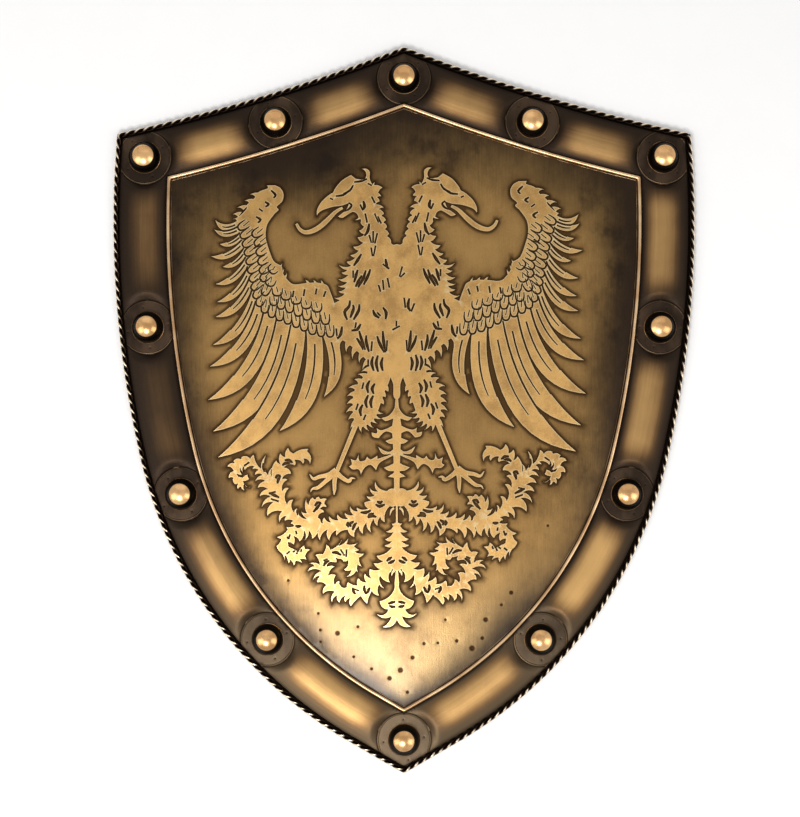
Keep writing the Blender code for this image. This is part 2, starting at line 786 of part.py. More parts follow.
def seat_spots(head, inner):
    spots = []
    for stud in STUDS:
        for radius, sides in ((SEAT_RADIUS, SEAT_SIDES), (SEAT_RADIUS + SEAT_BLEND, SEAT_SIDES // 2)):
            for spot in ring_points(stud, radius, sides):
                clear = min(distance_to_loop(spot, head), distance_to_loop(spot, inner))
                if inside(spot, head) and not inside(spot, inner) and clear > SHEET:
                    spots.append(spot)
    return spots


def in_band(verts, triangle, inner, holes):
    middle = (verts[triangle[0]] + verts[triangle[1]] + verts[triangle[2]]) / 3
    return not inside(middle, inner) and not any(inside(middle, hole) for hole in holes)


def sweep_along_outline(name, inset, level, radius, sides, turn, material, collection):
    # A round wire that follows the outline, with mitred corners
    mesh = bmesh.new()
    rings = []
    for side in range(sides):
        angle = turn + 2 * math.pi * side / sides
        loop = full_outline(inset + radius * math.cos(angle))
        rings.append([mesh.verts.new((point.x, point.y, level + radius * math.sin(angle))) for point in loop])
    count = len(rings[0])
    for here, there in zip(rings, rings[1:] + rings[:1]):
        for index in range(count):
            after = (index + 1) % count
            mesh.faces.new((here[index], here[after], there[after], there[index]))
    return finish_object(name, mesh, material, collection, WIRE_SMOOTH_ANGLE)


def build_rope(material, collection):
    radius = ROPE_DIAMETER / 2
    level = SHEET + GAP + radius * math.cos(math.pi / ROPE_SIDES)
    return sweep_along_outline("rope_edge", radius, level, radius, ROPE_SIDES, 0.0, material, collection)


def build_bead(material, collection):
    radius = BEAD_DIAMETER / 2
    level = FIELD_LEVEL + GAP + radius
    turn = math.pi / 2
    return sweep_along_outline("inner_bead", BEAD_INSET, level, radius, BEAD_SIDES, turn, material, collection)


def build_stud(number, place, material, collection):
    seat = BAND_EDGE_LEVEL + GAP
    tail_top = BAND_EDGE_LEVEL - SHEET - GAP
    profile = [
        (0.0, tail_top - STUD_TAIL_HEIGHT),
        (STUD_TAIL_RADIUS, tail_top - STUD_TAIL_HEIGHT),
        (STUD_TAIL_RADIUS, tail_top),
        (STUD_SHANK_RADIUS, tail_top),
        (STUD_SHANK_RADIUS, seat),
    ]
    for step in range(STUD_DOME_STEPS + 1):
        turn = math.pi / 2 * step / STUD_DOME_STEPS
        profile.append((STUD_RADIUS * math.cos(turn), seat + STUD_RADIUS * math.sin(turn)))
    profile[-1] = (0.0, profile[-1][1])
    mesh = bmesh.new()
    chain = [mesh.verts.new((radius, 0.0, height)) for radius, height in profile]
    for lower, upper in zip(chain, chain[1:]):
        mesh.edges.new((lower, upper))
    bmesh.ops.spin(mesh, geom=mesh.verts[:] + mesh.edges[:], axis=(0, 0, 1), cent=(0, 0, 0), angle=2 * math.pi,
                   steps=STUD_SIDES, use_merge=True)
    bmesh.ops.remove_doubles(mesh, verts=mesh.verts, dist=1e-6)
    made = finish_object(f"stud_{number:02d}", mesh, material, collection, STUD_SMOOTH_ANGLE)
    made.location = (place.x, place.y, 0.0)
    return made


def brass(name):
    *colour, roughness = BRASS_FINISHES[name]
    material = bpy.data.materials.new(name)
    material.use_nodes = True
    shader = material.node_tree.nodes["Principled BSDF"]
    shader.inputs["Base Color"].default_value = (*colour, 1.0)
    shader.inputs["Metallic"].default_value = 1.0
    shader.inputs["Roughness"].default_value = roughness
    material.diffuse_color = (*colour, 1.0)
    return material


def main():
    for old in list(bpy.data.objects):
        bpy.data.objects.remove(old, do_unlink=True)
    collection = bpy.data.collections.new("decorative_shield")
    bpy.context.scene.collection.children.link(collection)
    build_field(brass("aged_brass_field"), collection)
    build_band(brass("aged_brass_band"), collection)
    build_bead(brass("bright_brass"), collection)
    build_rope(brass("dark_brass_wire"), collection)
    stud_material = brass("polished_brass")
    for number, place in enumerate(STUDS, 1):
        build_stud(number, place, stud_material, collection)


main()
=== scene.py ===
import math
import random

import bpy
import numpy
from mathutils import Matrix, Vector, kdtree
from mathutils.geometry import delaunay_2d_cdt


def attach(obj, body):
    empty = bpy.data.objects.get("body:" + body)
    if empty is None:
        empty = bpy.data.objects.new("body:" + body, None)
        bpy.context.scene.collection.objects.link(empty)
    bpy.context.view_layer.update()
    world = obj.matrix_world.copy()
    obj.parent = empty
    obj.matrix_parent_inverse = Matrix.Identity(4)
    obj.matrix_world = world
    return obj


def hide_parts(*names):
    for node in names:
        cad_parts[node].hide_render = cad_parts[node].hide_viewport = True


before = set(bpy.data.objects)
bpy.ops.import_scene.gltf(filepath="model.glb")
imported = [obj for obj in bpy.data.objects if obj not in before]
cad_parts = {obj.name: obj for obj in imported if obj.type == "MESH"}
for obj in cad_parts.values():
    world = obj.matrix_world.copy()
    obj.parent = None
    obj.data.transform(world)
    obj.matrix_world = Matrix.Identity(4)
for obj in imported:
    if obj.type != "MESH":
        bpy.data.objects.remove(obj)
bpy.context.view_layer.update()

# A brass wall shield on its back: +X right, +Y to the top, +Z out of its face, metres


# the camera comes first, so that the framing is fixed
cameraSet = {
    "place": (0.005, -0.080, 1.550),  # looks straight down, a little below the middle
    "frameHeight": 0.6745,  # what the picture spans, top to bottom, at the shield
    "frameMiddle": (-0.0033, 0.0016),
    "sensor": 36.0,
}


def placeCamera():
    data = bpy.data.cameras.new("photoCamera")
    data.sensor_fit = "VERTICAL"
    data.sensor_height = cameraSet["sensor"]
    data.sensor_width = cameraSet["sensor"]
    data.lens = cameraSet["sensor"] * cameraSet["place"][2] / cameraSet["frameHeight"]
    data.shift_x, data.shift_y = [(middle - place) / cameraSet["frameHeight"]
                                  for middle, place in zip(cameraSet["frameMiddle"], cameraSet["place"])]
    camera = bpy.data.objects.new("photoCamera", data)
    camera.location = cameraSet["place"]
    bpy.context.scene.collection.objects.link(camera)
    bpy.context.scene.camera = camera


class Wire:
    # a socket, so that sums on masks read as plain sums
    def __init__(self, finish, socket):
        self.finish, self.socket = finish, socket

    def sums(self, operation, *terms):
        return self.finish.node("ShaderNodeMath", {"operation": operation}, dict(enumerate(terms)))

    def __add__(self, other):
        return self.sums("ADD", self, other)

    def __radd__(self, other):
        return self.sums("ADD", other, self)

    def __sub__(self, other):
        return self.sums("SUBTRACT", self, other)

    def __rsub__(self, other):
        return self.sums("SUBTRACT", other, self)

    def __mul__(self, other):
        return self.sums("MULTIPLY", self, other)

    def between(self, low, high):
        # nought below low, one above high, smooth from one to the other
        settings = {"interpolation_type": "SMOOTHSTEP"}
        return self.finish.node("ShaderNodeMapRange", settings, {0: self, 1: low, 2: high})


class Finish:
    # a material and the one way its nodes are made
    def __init__(self, name, metallic=1.0, specular=0.5):
        self.material = bpy.data.materials.new(name)
        self.material.use_nodes = True
        self.tree = self.material.node_tree
        self.shader = self.tree.nodes["Principled BSDF"]
        self.shader.inputs["Metallic"].default_value = metallic
        self.shader.inputs["Specular IOR Level"].default_value = specular
        self.place = self.node("ShaderNodeTexCoord", {}, {}, "Object")

    def node(self, kind, settings, sockets, output=0):
        made = self.tree.nodes.new(kind)
        for key, value in settings.items():
            setattr(made, key, value)
        for key, value in sockets.items():
            self.feed(made.inputs[key], value)
        return Wire(self, made.outputs[output])

    def feed(self, socket, value):
        if isinstance(value, Wire):
            self.tree.links.new(value.socket, socket)
        else:
            socket.default_value = value

    def masks(self, *names):
        return [self.node("ShaderNodeAttribute", {"attribute_type": "GEOMETRY", "attribute_name": name},
                          {}, "Fac") for name in names]

    def noise(self, scale, detail=3.0, roughness=0.55, shift=(0.0, 0.0, 0.0)):
        spread = self.node("ShaderNodeMapping", {}, {0: self.place, 1: shift, 3: scale})
        return self.node("ShaderNodeTexNoise", {}, {"Vector": spread, "Scale": 1.0, "Detail": detail,
                                                    "Roughness": roughness})

    def blend(self, share, first, second):
        colours = [(*colour, 1.0) if isinstance(colour, tuple) else colour for colour in (first, second)]
        return self.node("ShaderNodeMix", {"data_type": "RGBA"}, {0: share, 6: colours[0], 7: colours[1]}, 2)

    def bump(self, height, distance, strength=1.0):
        return self.node("ShaderNodeBump", {}, {"Height": height, "Distance": distance, "Strength": strength})

    def close(self, **sockets):
        for name, value in sockets.items():
            self.feed(self.shader.inputs[name.replace("_", " ")], value)
        return self.material


# outline of the shield, at any distance in from its edge
shield = {
    "height": 0.600, "width": 0.480, "widestHeight": 0.1545, "upperRadius": 0.860,
    "upperTurn": math.radians(13.2), "tipRun": 0.0524, "cornerDrop": 0.0718, "topSag": 0.005,
    "sheet": 0.0012, "gap": 0.0003,
}
fine = (90, 96, 100, 20)  # stations along the top, upper side, lower side and tip run
halfHeight = shield["height"] / 2


def point(x, y):
    return Vector((x, y))


def asArray(spots):
    return numpy.array([(spot.x, spot.y) for spot in spots])


def turned(angle):
    return Vector((math.cos(angle), math.sin(angle)))


def heading(centre, spot):
    return math.atan2(spot.y - centre.y, spot.x - centre.x)


upperCentre = point(shield["width"] / 2 - shield["upperRadius"], shield["widestHeight"])
tipPoint = point(0.0, -halfHeight)


def findTopArc():
    apex = point(0.0, halfHeight)
    low = halfHeight - shield["cornerDrop"]
    rise = low - shield["widestHeight"]
    corner = point(upperCentre.x + math.sqrt(shield["upperRadius"] ** 2 - rise ** 2), low)
    chord = (corner - apex).length
    radius = chord ** 2 / (8 * shield["topSag"]) + shield["topSag"] / 2
    along = (corner - apex) / chord
    return (apex + corner) / 2 + point(-along.y, along.x) * (radius - shield["topSag"]), radius


def findLowerArc():
    outward = turned(-shield["upperTurn"])
    joint = upperCentre + outward * shield["upperRadius"]
    toTip = tipPoint - joint
    radius = (toTip.length_squared - shield["tipRun"] ** 2) / (-2 * outward.dot(toTip))
    return joint - outward * radius, radius


topCentre, topRadius = findTopArc()
lowerCentre, lowerRadius = findLowerArc()
tipSlope = heading(tipPoint, lowerCentre) - math.atan2(lowerRadius, shield["tipRun"])


def cornerAt(inset):
    sideRadius, outerRadius = shield["upperRadius"] - inset, topRadius + inset
    apart = (upperCentre - topCentre).length
    share = (outerRadius ** 2 - sideRadius ** 2 + apart ** 2) / (2 * apart)
    half = math.sqrt(outerRadius ** 2 - share ** 2)
    along = (upperCentre - topCentre) / apart
    spots = [topCentre + along * share + point(-along.y, along.x) * half * sign for sign in (1, -1)]
    return max((spot for spot in spots if spot.y > 0), key=lambda spot: spot.x)


def arc(centre, radius, first, last, stations):
    return [centre + turned(first + (last - first) * step / stations) * radius for step in range(stations)]


def halfOutline(inset):
    corner = cornerAt(inset)
    apex = point(0.0, topCentre.y - math.sqrt((topRadius + inset) ** 2 - topCentre.x ** 2))
    tip = tipPoint + point(0.0, inset / math.cos(tipSlope))
    sideRadius, lastTurn = shield["upperRadius"] - inset, tipSlope - math.pi / 2
    points = arc(topCentre, topRadius + inset, heading(topCentre, apex), heading(topCentre, corner), fine[0])
    points += arc(upperCentre, sideRadius, heading(upperCentre, corner), -shield["upperTurn"], fine[1])
    points += arc(lowerCentre, lowerRadius - inset, -shield["upperTurn"], lastTurn, fine[2])
    end = lowerCentre + turned(lastTurn) * (lowerRadius - inset)
    points += [end.lerp(tip, step / fine[3]) for step in range(fine[3])]
    return points + [tip]


def fullOutline(inset):
    right = halfOutline(inset)  # clockwise from the top point
    return right + [point(-spot.x, spot.y) for spot in reversed(right[1:-1])]


def insetOf(spots):
    # how far in from the edge each spot lies, for an array of spots
    x, y = numpy.abs(spots[:, 0]), spots[:, 1]

    def away(centre):
        return numpy.hypot(x - centre.x, y - centre.y)

    def angle(centre):
        return numpy.arctan2(y - centre.y, x - centre.x)

    fromTip = (y + halfHeight) * math.cos(tipSlope) - x * math.sin(tipSlope)
    besideArc = angle(lowerCentre) > tipSlope - math.pi / 2
    fromLower = numpy.where(besideArc, lowerRadius - away(lowerCentre), fromTip)
    fromUpper = shield["upperRadius"] - away(upperCentre)
    fromSide = numpy.where(angle(upperCentre) > -shield["upperTurn"], fromUpper, fromLower)
    return numpy.minimum(away(topCentre) - topRadius, fromSide)


def stepUp(values, low, high):
    share = numpy.clip((values - low) / (high - low), 0.0, 1.0)
    return share * share * (3 - 2 * share)


def triangulate(loops, edges, spots):
    # triangles over loops, further constrained edges (pairs of spots) and loose spots
    points, lines = [], []
    for loop in loops:
        start, count = len(points), len(loop)
        points += loop
        lines += [(start + step, start + (step + 1) % count) for step in range(count)]
    firstEdge = len(lines)
    lines += [(len(points) + a, len(points) + b) for a, b in edges]
    made = delaunay_2d_cdt(points + spots, lines, [], 1, 1e-7)
    walls = {tuple(sorted(edge)) for edge, origins in zip(made[1], made[4])
             if any(origin >= firstEdge for origin in origins)}
    return asArray(made[0]), [tuple(face) for face in made[2]], walls


def wound(flat, faces, upward):
    # every triangle turned to face up, or down
    corners = flat[numpy.array(faces)]
    first, second = corners[:, 1] - corners[:, 0], corners[:, 2] - corners[:, 0]
    turn = first[:, 0] * second[:, 1] - first[:, 1] * second[:, 0]
    return [face if (size > 0) == upward else face[::-1] for face, size in zip(faces, turn)]


def onlyUsed(faces):
    # the corners in use, and the faces renumbered to them
    live = sorted({index for face in faces for index in face})
    renumber = {index: place for place, index in enumerate(live)}
    return live, [tuple(renumber[index] for index in face) for face in faces]


def rimEdges(faces):
    # counted, since four walls share an edge where two parts of the relief touch
    used = {}
    for face in faces:
        for a, b in zip(face, face[1:] + face[:1]):
            if used.get((b, a), 0):
                used[(b, a)] -= 1
            else:
                used[(a, b)] = used.get((a, b), 0) + 1
    return [edge for edge, times in used.items() if times]


def closeSheet(upper, lower):
    # (spots, faces) of the upper and lower side, joined at their rims, which share their plan
    topSpots, topFaces = upper
    lowSpots, lowFaces = lower
    count = len(topSpots)
    spots = numpy.vstack([topSpots, lowSpots])
    faces = list(topFaces) + [tuple(index + count for index in face) for face in lowFaces]

    def key(spot):
        return round(spot[0] * 1e6), round(spot[1] * 1e6)

    under = {}
    for a, b in rimEdges(lowFaces):
        under[key(lowSpots[a])] = a + count
    walls = [(b, a, under[key(topSpots[a])], under[key(topSpots[b])]) for a, b in rimEdges(topFaces)]
    return spots, faces + walls


def addPiece(name, spots, faces, material, nodes, masks, smoothAngle=35):
    mesh = bpy.data.meshes.new(name)
    mesh.from_pydata([tuple(spot) for spot in spots], [], faces)
    for mask, values in masks.items():
        layer = mesh.attributes.new(mask, "FLOAT", "POINT")
        layer.data.foreach_set("value", numpy.asarray(values, dtype=numpy.float32))
    mesh.materials.append(material)
    mesh.shade_smooth()
    mesh.set_sharp_from_angle(angle=math.radians(smoothAngle))
    piece = bpy.data.objects.new(name, mesh)
    bpy.context.scene.collection.objects.link(piece)
    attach(piece, "root")
    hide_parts(*nodes)
    print(name, "has", sum(len(face) - 2 for face in faces), "triangles")


# the rolled border, and where the studs stand on it
border = {
    "flangeInset": 0.0006, "ropeWidth": 0.0048, "wallGap": 0.0008, "wallRun": 0.0006, "reach": 0.0440,
    "edgeLevel": 0.0048, "roll": 0.0042, "seatRadius": 0.0208, "seatBlend": 0.0085,
    "ridge": 0.00042, "ridgeWidth": 0.0011, "groove": 0.0003,
    "markRadius": 0.0168, "markSize": 0.0012, "markDepth": 0.0004,
    # how bright the face is coloured, at these heights, to the left and to the right: partly polish, partly
    # painted sheen
    "polishAndSheenHeights": (-0.30, -0.14, -0.10, 0.0, 0.16, 0.21, 0.30),
    "polishAndSheenLeft": (0.95, 0.86, 0.52, 0.16, 0.33, 0.80, 0.63),
    "polishAndSheenRight": (0.62, 1.00, 0.88, 0.66, 0.66, 0.70, 0.65),
    "rows": 13, "rowsBelow": 4,  # rows of points across the face
    # circles of points round a stud: within its ring, beyond it, and the step between the nine across it
    "circles": (0.0100, 0.0140, 0.0165, 0.0190), "circlesOut": (0.0240, 0.0258, 0.0276), "ringStep": 0.000275,
    "around": 84, "aroundBelow": 24,  # points on each circle round a stud
}
border["foot"] = border["ropeWidth"] + border["wallGap"]
border["face"] = border["foot"] + border["wallRun"]


def spotAt(points, share):
    lengths = [(b - a).length for a, b in zip(points, points[1:])]
    left = share * sum(lengths)
    for a, b, length in zip(points, points[1:], lengths):
        if left <= length:
            return a.lerp(b, left / length)
        left -= length
    return points[-1].copy()


def studPlaces(topSpans=2, sideSpans=4):
    line = halfOutline((border["flangeInset"] + border["ropeWidth"] + border["reach"]) / 2)
    topEdge, sideEdge = line[:fine[0] + 1], line[fine[0]:]
    right = [spotAt(topEdge, step / topSpans) for step in range(1, topSpans)]
    right += [spotAt(sideEdge, step / sideSpans) for step in range(sideSpans)]
    left = [point(-spot.x, spot.y) for spot in reversed(right)]
    return [line[0]] + right + [line[-1]] + left


studs = studPlaces()
studArray = asArray(studs)


def nearestStud(spots):
    across, up = (spots[:, None, axis] - studArray[None, :, axis] for axis in (0, 1))
    return numpy.hypot(across, up).min(axis=1)


def circle(centre, radius, count):
    return [centre + turned(2 * math.pi * step / count) * radius for step in range(count)]


# drawing tools for the relief, in steps of its own grid
def reachAlong(points):
    reach = [0.0]
    for here, there in zip(points, points[1:]):
        reach.append(reach[-1] + math.dist(here, there))
    return reach


def spotAlong(points, share):
    reach = reachAlong(points)
    goal = min(max(share, 0.0), 1.0) * reach[-1]
    place = next((step for step in range(1, len(points)) if goal <= reach[step]), len(points) - 1)
    span = reach[place] - reach[place - 1]
    (ax, ay), (bx, by) = points[place - 1], points[place]
    part = (goal - reach[place - 1]) / span
    return (ax + (bx - ax) * part, ay + (by - ay) * part), ((bx - ax) / span, (by - ay) / span)


def smoothLine(points, steps=4):
    if len(points) < 3:
        return list(points)
    full = [points[0], *points, points[-1]]
    made = []
    for place in range(1, len(full) - 2):
        for step in range(steps):
            t = step / steps
            made.append(tuple(
                b + 0.5 * t * (c - a + t * (2 * a - 5 * b + 4 * c - d + t * (3 * (b - c) + d - a)))
                for a, b, c, d in zip(*full[place - 1:place + 3])))
    return made + [points[-1]]


def bow(start, end, belly, steps=8, place=0.5):
    # from start to end, swelling to the right of the way there; the end itself is left out
    dx, dy = end[0] - start[0], end[1] - start[1]
    handle = (start[0] + dx * place + dy * 2 * belly, start[1] + dy * place - dx * 2 * belly)
    return [tuple(a * (1 - t) ** 2 + 2 * h * t * (1 - t) + b * t * t for a, h, b in zip(start, handle, end))
            for t in (step / steps for step in range(steps))]


def trace(*runs, steps=4):
    # a closed outline of smooth runs that meet at sharp corners
    made = []
    for run in runs:
        line = smoothLine(run, steps)
        made += line[1:] if made and math.dist(made[-1], line[0]) < 1e-6 else line
    return made[:-1] if math.dist(made[0], made[-1]) < 1e-6 else made


def ribbonSides(points, widths, steps=4):
    line = smoothLine(points, steps)
    reach = reachAlong(line)
    left, right = [], []
    for place, (x, y) in enumerate(line):
        share = reach[place] / reach[-1] * (len(widths) - 1)
        low = min(int(share), len(widths) - 2)
        half = (widths[low] + (widths[low + 1] - widths[low]) * (share - low)) / 2
        (ax, ay), (bx, by) = line[max(place - 1, 0)], line[min(place + 1, len(line) - 1)]
        span = math.dist((ax, ay), (bx, by))
        left.append((x - (by - ay) / span * half, y + (bx - ax) / span * half))
        right.append((x + (by - ay) / span * half, y - (bx - ax) / span * half))
    return left, right


def strip(points, widths, steps=4):
    # two triangles for each stretch, so that tight curls stay clean
    left, right = ribbonSides(points, widths, steps)
    made = []
    for i in range(len(left) - 1):
        made += [[left[i], left[i + 1], right[i + 1]], [left[i], right[i + 1], right[i]]]
    return made


tufts = {"curl": 0.16, "sink": 1.5, "wild": 0.12}  # bend, depth of the root in the body, play in length


def barbs(path, count, length, lean, wide=1.0):
    # curved tufts along a path, on its left, that lean along the way by an angle
    line = smoothLine(path, 3)
    pitch, sink = 1 / count, tufts["sink"]
    half = reachAlong(line)[-1] * pitch * wide / 2
    made = []
    for number in range(count):
        (x, y), (tx, ty) = spotAlong(line, pitch * (number + 0.5))
        nx, ny = -ty, tx
        size = length * (1 + tufts["wild"] * math.sin(2.4 * number + 0.7 * count))
        out, on = size * math.cos(lean), size * math.sin(lean)
        a = (x - tx * half - nx * sink, y - ty * half - ny * sink)
        b = (x + tx * half - nx * sink, y + ty * half - ny * sink)
        tip = (x + nx * out + tx * on, y + ny * out + ty * on)
        bend = tufts["curl"] * (1 if lean > 0 else -1)
        made.append([a] + bow(b, tip, -bend, 4) + bow(tip, a, bend * 0.7, 4))
    return made


# the double-headed eagle, left half as drawn: out from the middle, up from the foot, in its own steps
eagle = {
    "span": 0.3790, "steps": 462, "foot": -0.1793, "shift": -0.0058, "lift": 1 / 60, "skew": 1 / 60,
    "height": 0.0009, "bevel": 0.0003,  # of the relief over the field
    "wingTips": ((182, 409), (183, 399.5), (178, 385), (186, 372.5), (175, 362), (181.5, 344.5), (180, 326.5),
                 (181.5, 311.5), (184, 283.5), (187, 262), (189, 228.5), (184, 197), (179, 171), (117, 197),
                 (72.5, 231)),
    "covertEdge": ((160.5, 408), (155.5, 390), (151, 371), (146, 345), (140.5, 326), (132, 315), (120, 309),
                   (100, 301), (80, 292.5), (60, 291)),
    "pitch": 5.2, "growth": 0.45,  # room of the first feather's root, and how much more each next one takes
    "line": 1.35,  # width of the line between two feathers
    "outerBow": (0.09, 0.08), "innerBow": (-0.19, -0.14), "belly": 0.36,  # bend of a feather's two edges
}


def featherRoots():
    line = smoothLine(eagle["covertEdge"], 3)
    reach = reachAlong(line)[-1]
    numbers = range(len(eagle["wingTips"]) + 1)
    places = [eagle["pitch"] * number + eagle["growth"] * number ** 2 for number in numbers]
    return [spotAlong(line, place / reach)[0] for place in places]


def featherEdges(number, outer, inner, tip):
    curl = math.exp(-number)  # the topmost feathers curl most
    outerBow, innerBow = (bend + more * curl for bend, more in (eagle["outerBow"], eagle["innerBow"]))
    return bow(outer, tip, outerBow, 12), bow(tip, inner, innerBow, 12, eagle["belly"])


def wingFeathers():
    roots = featherRoots()
    shapes, cuts = [], []
    for number, tip in enumerate(eagle["wingTips"]):
        outer, inner = roots[number], roots[number + 1]
        outerEdge, innerEdge = featherEdges(number, outer, inner, tip)
        root = ((outer[0] + inner[0]) / 2 - 3, (outer[1] + inner[1]) / 2 + 3)
        shapes.append(outerEdge + innerEdge + [inner, root])
        if number:
            cuts += strip(outerEdge[:9], (eagle["line"], eagle["line"]), 1)
        facing = zip(outerEdge, [inner] + innerEdge[::-1])
        middle = [((ax + bx) / 2, (ay + by) / 2) for (ax, ay), (bx, by) in facing]
        cuts += strip(middle[1:8], (1.1, 1.1, 0.4), 1)
    return shapes, cuts


def wingArm():
    return [trace(
        [(62, 325), (66.5, 337), (70, 343), (80, 345.5), (91, 345), (103, 344), (109.5, 349), (113.5, 355),
         (115, 362), (123, 367.5), (128.5, 381.5), (131, 392), (129.5, 404), (122, 415)],
        [(122, 415), (118, 419), (120, 422), (114.5, 427.5), (113.3, 435), (116.5, 441), (122, 444)],
        [(122, 444), (131, 444)],
        [(131, 444), (129.5, 441), (136.5, 438.5), (142, 434.5)],
        [(142, 434.5), (143, 431), (150.5, 424.5)],
        [(150.5, 424.5), (151, 420), (158, 413), (164.5, 409.5)],
        [(164.5, 409.5), *eagle["covertEdge"]],
        [eagle["covertEdge"][-1], (62, 325)],
    )] + barbs([(109, 349), (114, 357), (117, 364)], 3, 5, 0.9, 0.6) + barbs(
        [(70, 343), (80, 345.5), (92, 345.5)], 3, 5, 0.9, 0.6) + barbs(
        [(137, 438), (150.5, 424.5), (161, 412)], 4, 7, 0.85, 0.8)


coverts = {
    # rows of scales: how far each lies back from the feathers, scales in it, first and last place along the
    # row, how deep its scales are
    "rows": ((0.0, 19, 0.02, 0.99, 15.0), (12.5, 16, 0.10, 0.97, 14.0), (24.0, 9, 0.36, 0.93, 10.0)),
    "width": 0.90, "apart": 8.1,  # how near two scales may come
    "leanOut": 148, "leanIn": 86,  # way in which the scales open, in degrees, outside and inside
    "turnFrom": 0.30, "turnOver": 0.40,  # share of the row where that way turns
}


def covertScales():
    line = smoothLine(eagle["covertEdge"], 3)
    total = reachAlong(line)[-1]
    cuts, tips = [], []
    for back, count, first, last, deep in coverts["rows"]:
        half = total * (last - first) / count / 2 * coverts["width"]
        for number in range(count):
            share = first + (last - first) * (number + 0.5) / count
            (x, y), _ = spotAlong(line, share)
            soft = min(max((share - coverts["turnFrom"]) / coverts["turnOver"], 0.0), 1.0)
            lean = (coverts["leanIn"] - coverts["leanOut"]) * soft * soft * (3 - 2 * soft)
            turn = math.radians(coverts["leanOut"] + lean)
            nx, ny = math.cos(turn), math.sin(turn)
            long = deep * (0.88 + 0.12 * math.sin(1.9 * number + back))

            def at(across, up):
                out = back + up * long
                return x + ny * across * half + nx * out, y - nx * across * half + ny * out

            if any(math.dist(tip, at(0, 0)) < coverts["apart"] for tip in tips):
                continue
            tips.append(at(0, 0))
            cup = [at(-1, 0.78), at(-0.95, 0.3), at(-0.5, 0.0), at(0.5, 0.0), at(0.95, 0.3), at(1, 0.78)]
            cuts += strip(smoothLine(cup), (0.4, 1.3, 1.3, 0.4), 1)
            cuts += strip([at(0.15, 0.95), at(-0.1, 0.4)], (0.4, 1.4, 0.5), 1)
    return cuts


def headAndBody():
    return [trace(
        [(0, 384), (5, 384), (12, 396), (17.5, 413), (22.5, 427), (21.5, 433), (19, 439)],
        [(19, 439), (24, 444)],
        [(24, 444), (28, 448.5), (34, 449), (41, 450)],
        [(41, 450), (46, 454)],
        [(46, 454), (55, 448.5), (61.5, 441), (64, 436)],
        [(64, 436), (67, 434.5), (72, 430.5), (77, 425), (80.2, 418), (80.2, 412)],
        [(80.2, 412), (76, 417), (65, 421), (55, 422.5), (48, 425)],
        [(48, 425), (50.5, 419), (55, 415), (59.5, 411.5)],
        [(59.5, 411.5), (54.5, 410), (49.5, 413), (44, 416), (40, 414), (38.5, 410)],
        [(38.5, 410), (33, 406), (31.5, 400), (32, 394), (33.5, 386), (37, 378), (40, 371), (44, 364),
         (47, 357), (48, 350), (49.5, 340), (52, 331), (62, 325)],
        [(62, 325), (70, 310), (60, 291)],
        [(60, 291), (52, 286), (44, 280), (36, 273), (30, 267), (27.5, 262)],
        [(27.5, 262), (30, 254), (37, 247), (42, 238), (44, 228), (44, 216), (42.5, 207), (40, 202)],
        [(40, 202), (35, 200.5), (29, 203)],
        [(29, 203), (22, 209), (18, 218), (14, 230), (11, 238), (8.5, 243), (6.2, 249.5)],
        [(6.2, 249.5), (3.8, 243), (3.6, 232), (1, 228), (0, 228)],
    )]


def hornAndTongue():
    horn = trace([(24, 443), (27, 450), (27, 457), (30.5, 460.2), (35.4, 460.1)],
                 [(35.4, 460.1), (32, 457.5), (30.8, 453), (33, 448)])
    tongue = strip([(54, 420.5), (61, 416.5), (70, 407.5), (77.5, 401), (85, 397), (92, 396), (97.5, 399.5),
                    (100.5, 405)], (3, 4.5, 5.5, 5.5, 4.5, 3))
    return [horn] + tongue


# notches and tips of the plumage by turns, down the throat and down the nape
throat = (
    (36.5, 413), (43, 408), (36.5, 409), (36.5, 405.5), (33, 401.5), (38, 397.5), (32.5, 393.5),
    (39.5, 391), (34, 385), (44, 381.5), (38.5, 377), (47, 373), (42, 370), (50.5, 366.5), (45.5, 362),
    (58, 363), (50, 357.5), (56, 355.5), (49, 352.5), (58.5, 348.5), (49.5, 345.5), (59, 342), (51, 340),
    (59, 336.5), (52, 334), (62.5, 330), (53.5, 327.5),
)
nape = (
    (24, 445), (21.5, 446.5), (22.5, 443.5), (14, 440.5), (18.5, 435.5), (15.5, 431.5), (19.5, 431),
    (17, 426.5), (21, 424), (12.5, 420), (17.5, 419), (12.5, 414), (15, 412), (10.5, 407.5), (13, 405.5),
    (9.5, 400.5), (11.5, 398.5), (7.5, 393.5), (9.5, 391.5), (5.5, 387), (5, 384.5),
)


def plumage():
    inThroat = (throat[-1], (40, 332), (30, 360), (26, 395), (30, 415), throat[0])
    inNape = (nape[-1], (14, 384), (22, 400), (28, 425), nape[0])
    made = [leafyEdge(((0.12, throat), (0.0, inThroat))), leafyEdge(((0.12, nape), (0.0, inNape)))]
    made += barbs([(60, 291), (52, 286), (44, 280), (36, 273), (30, 267), (27.5, 262)], 5, 9.0, 0.5, wide=0.8)
    made += barbs([(28, 262), (30, 254), (37, 247), (42, 238), (44, 228), (44, 216), (42.5, 207), (40, 202)],
                  9, 7.0, 0.55)
    made += barbs([(38, 201), (35, 200.5), (29, 203), (22, 209), (18, 218)], 6, 6.5, 0.2)
    return made + barbs([(16, 224), (14, 230), (11, 238), (8.5, 243)], 3, 4.5, -0.8)


def legAndClaws():
    foot = (61, 156)
    toes = (((60, 158), (68, 153.5), (77, 151.5), (83, 149.5), (87, 154.5)),
            ((60, 156), (69, 148.5), (78, 141), (84, 139.5), (86, 136)),
            (foot, (62, 146), (62, 139), (62.5, 133)),
            (foot, (55, 151), (48, 147), (45, 150), (41, 149.5)))
    made = strip([(40.5, 203), (60, 156)], (5, 4.5), 1)
    for toe in toes:
        made += strip(toe, (7, 5, 4.5, 4, 1))
    return made


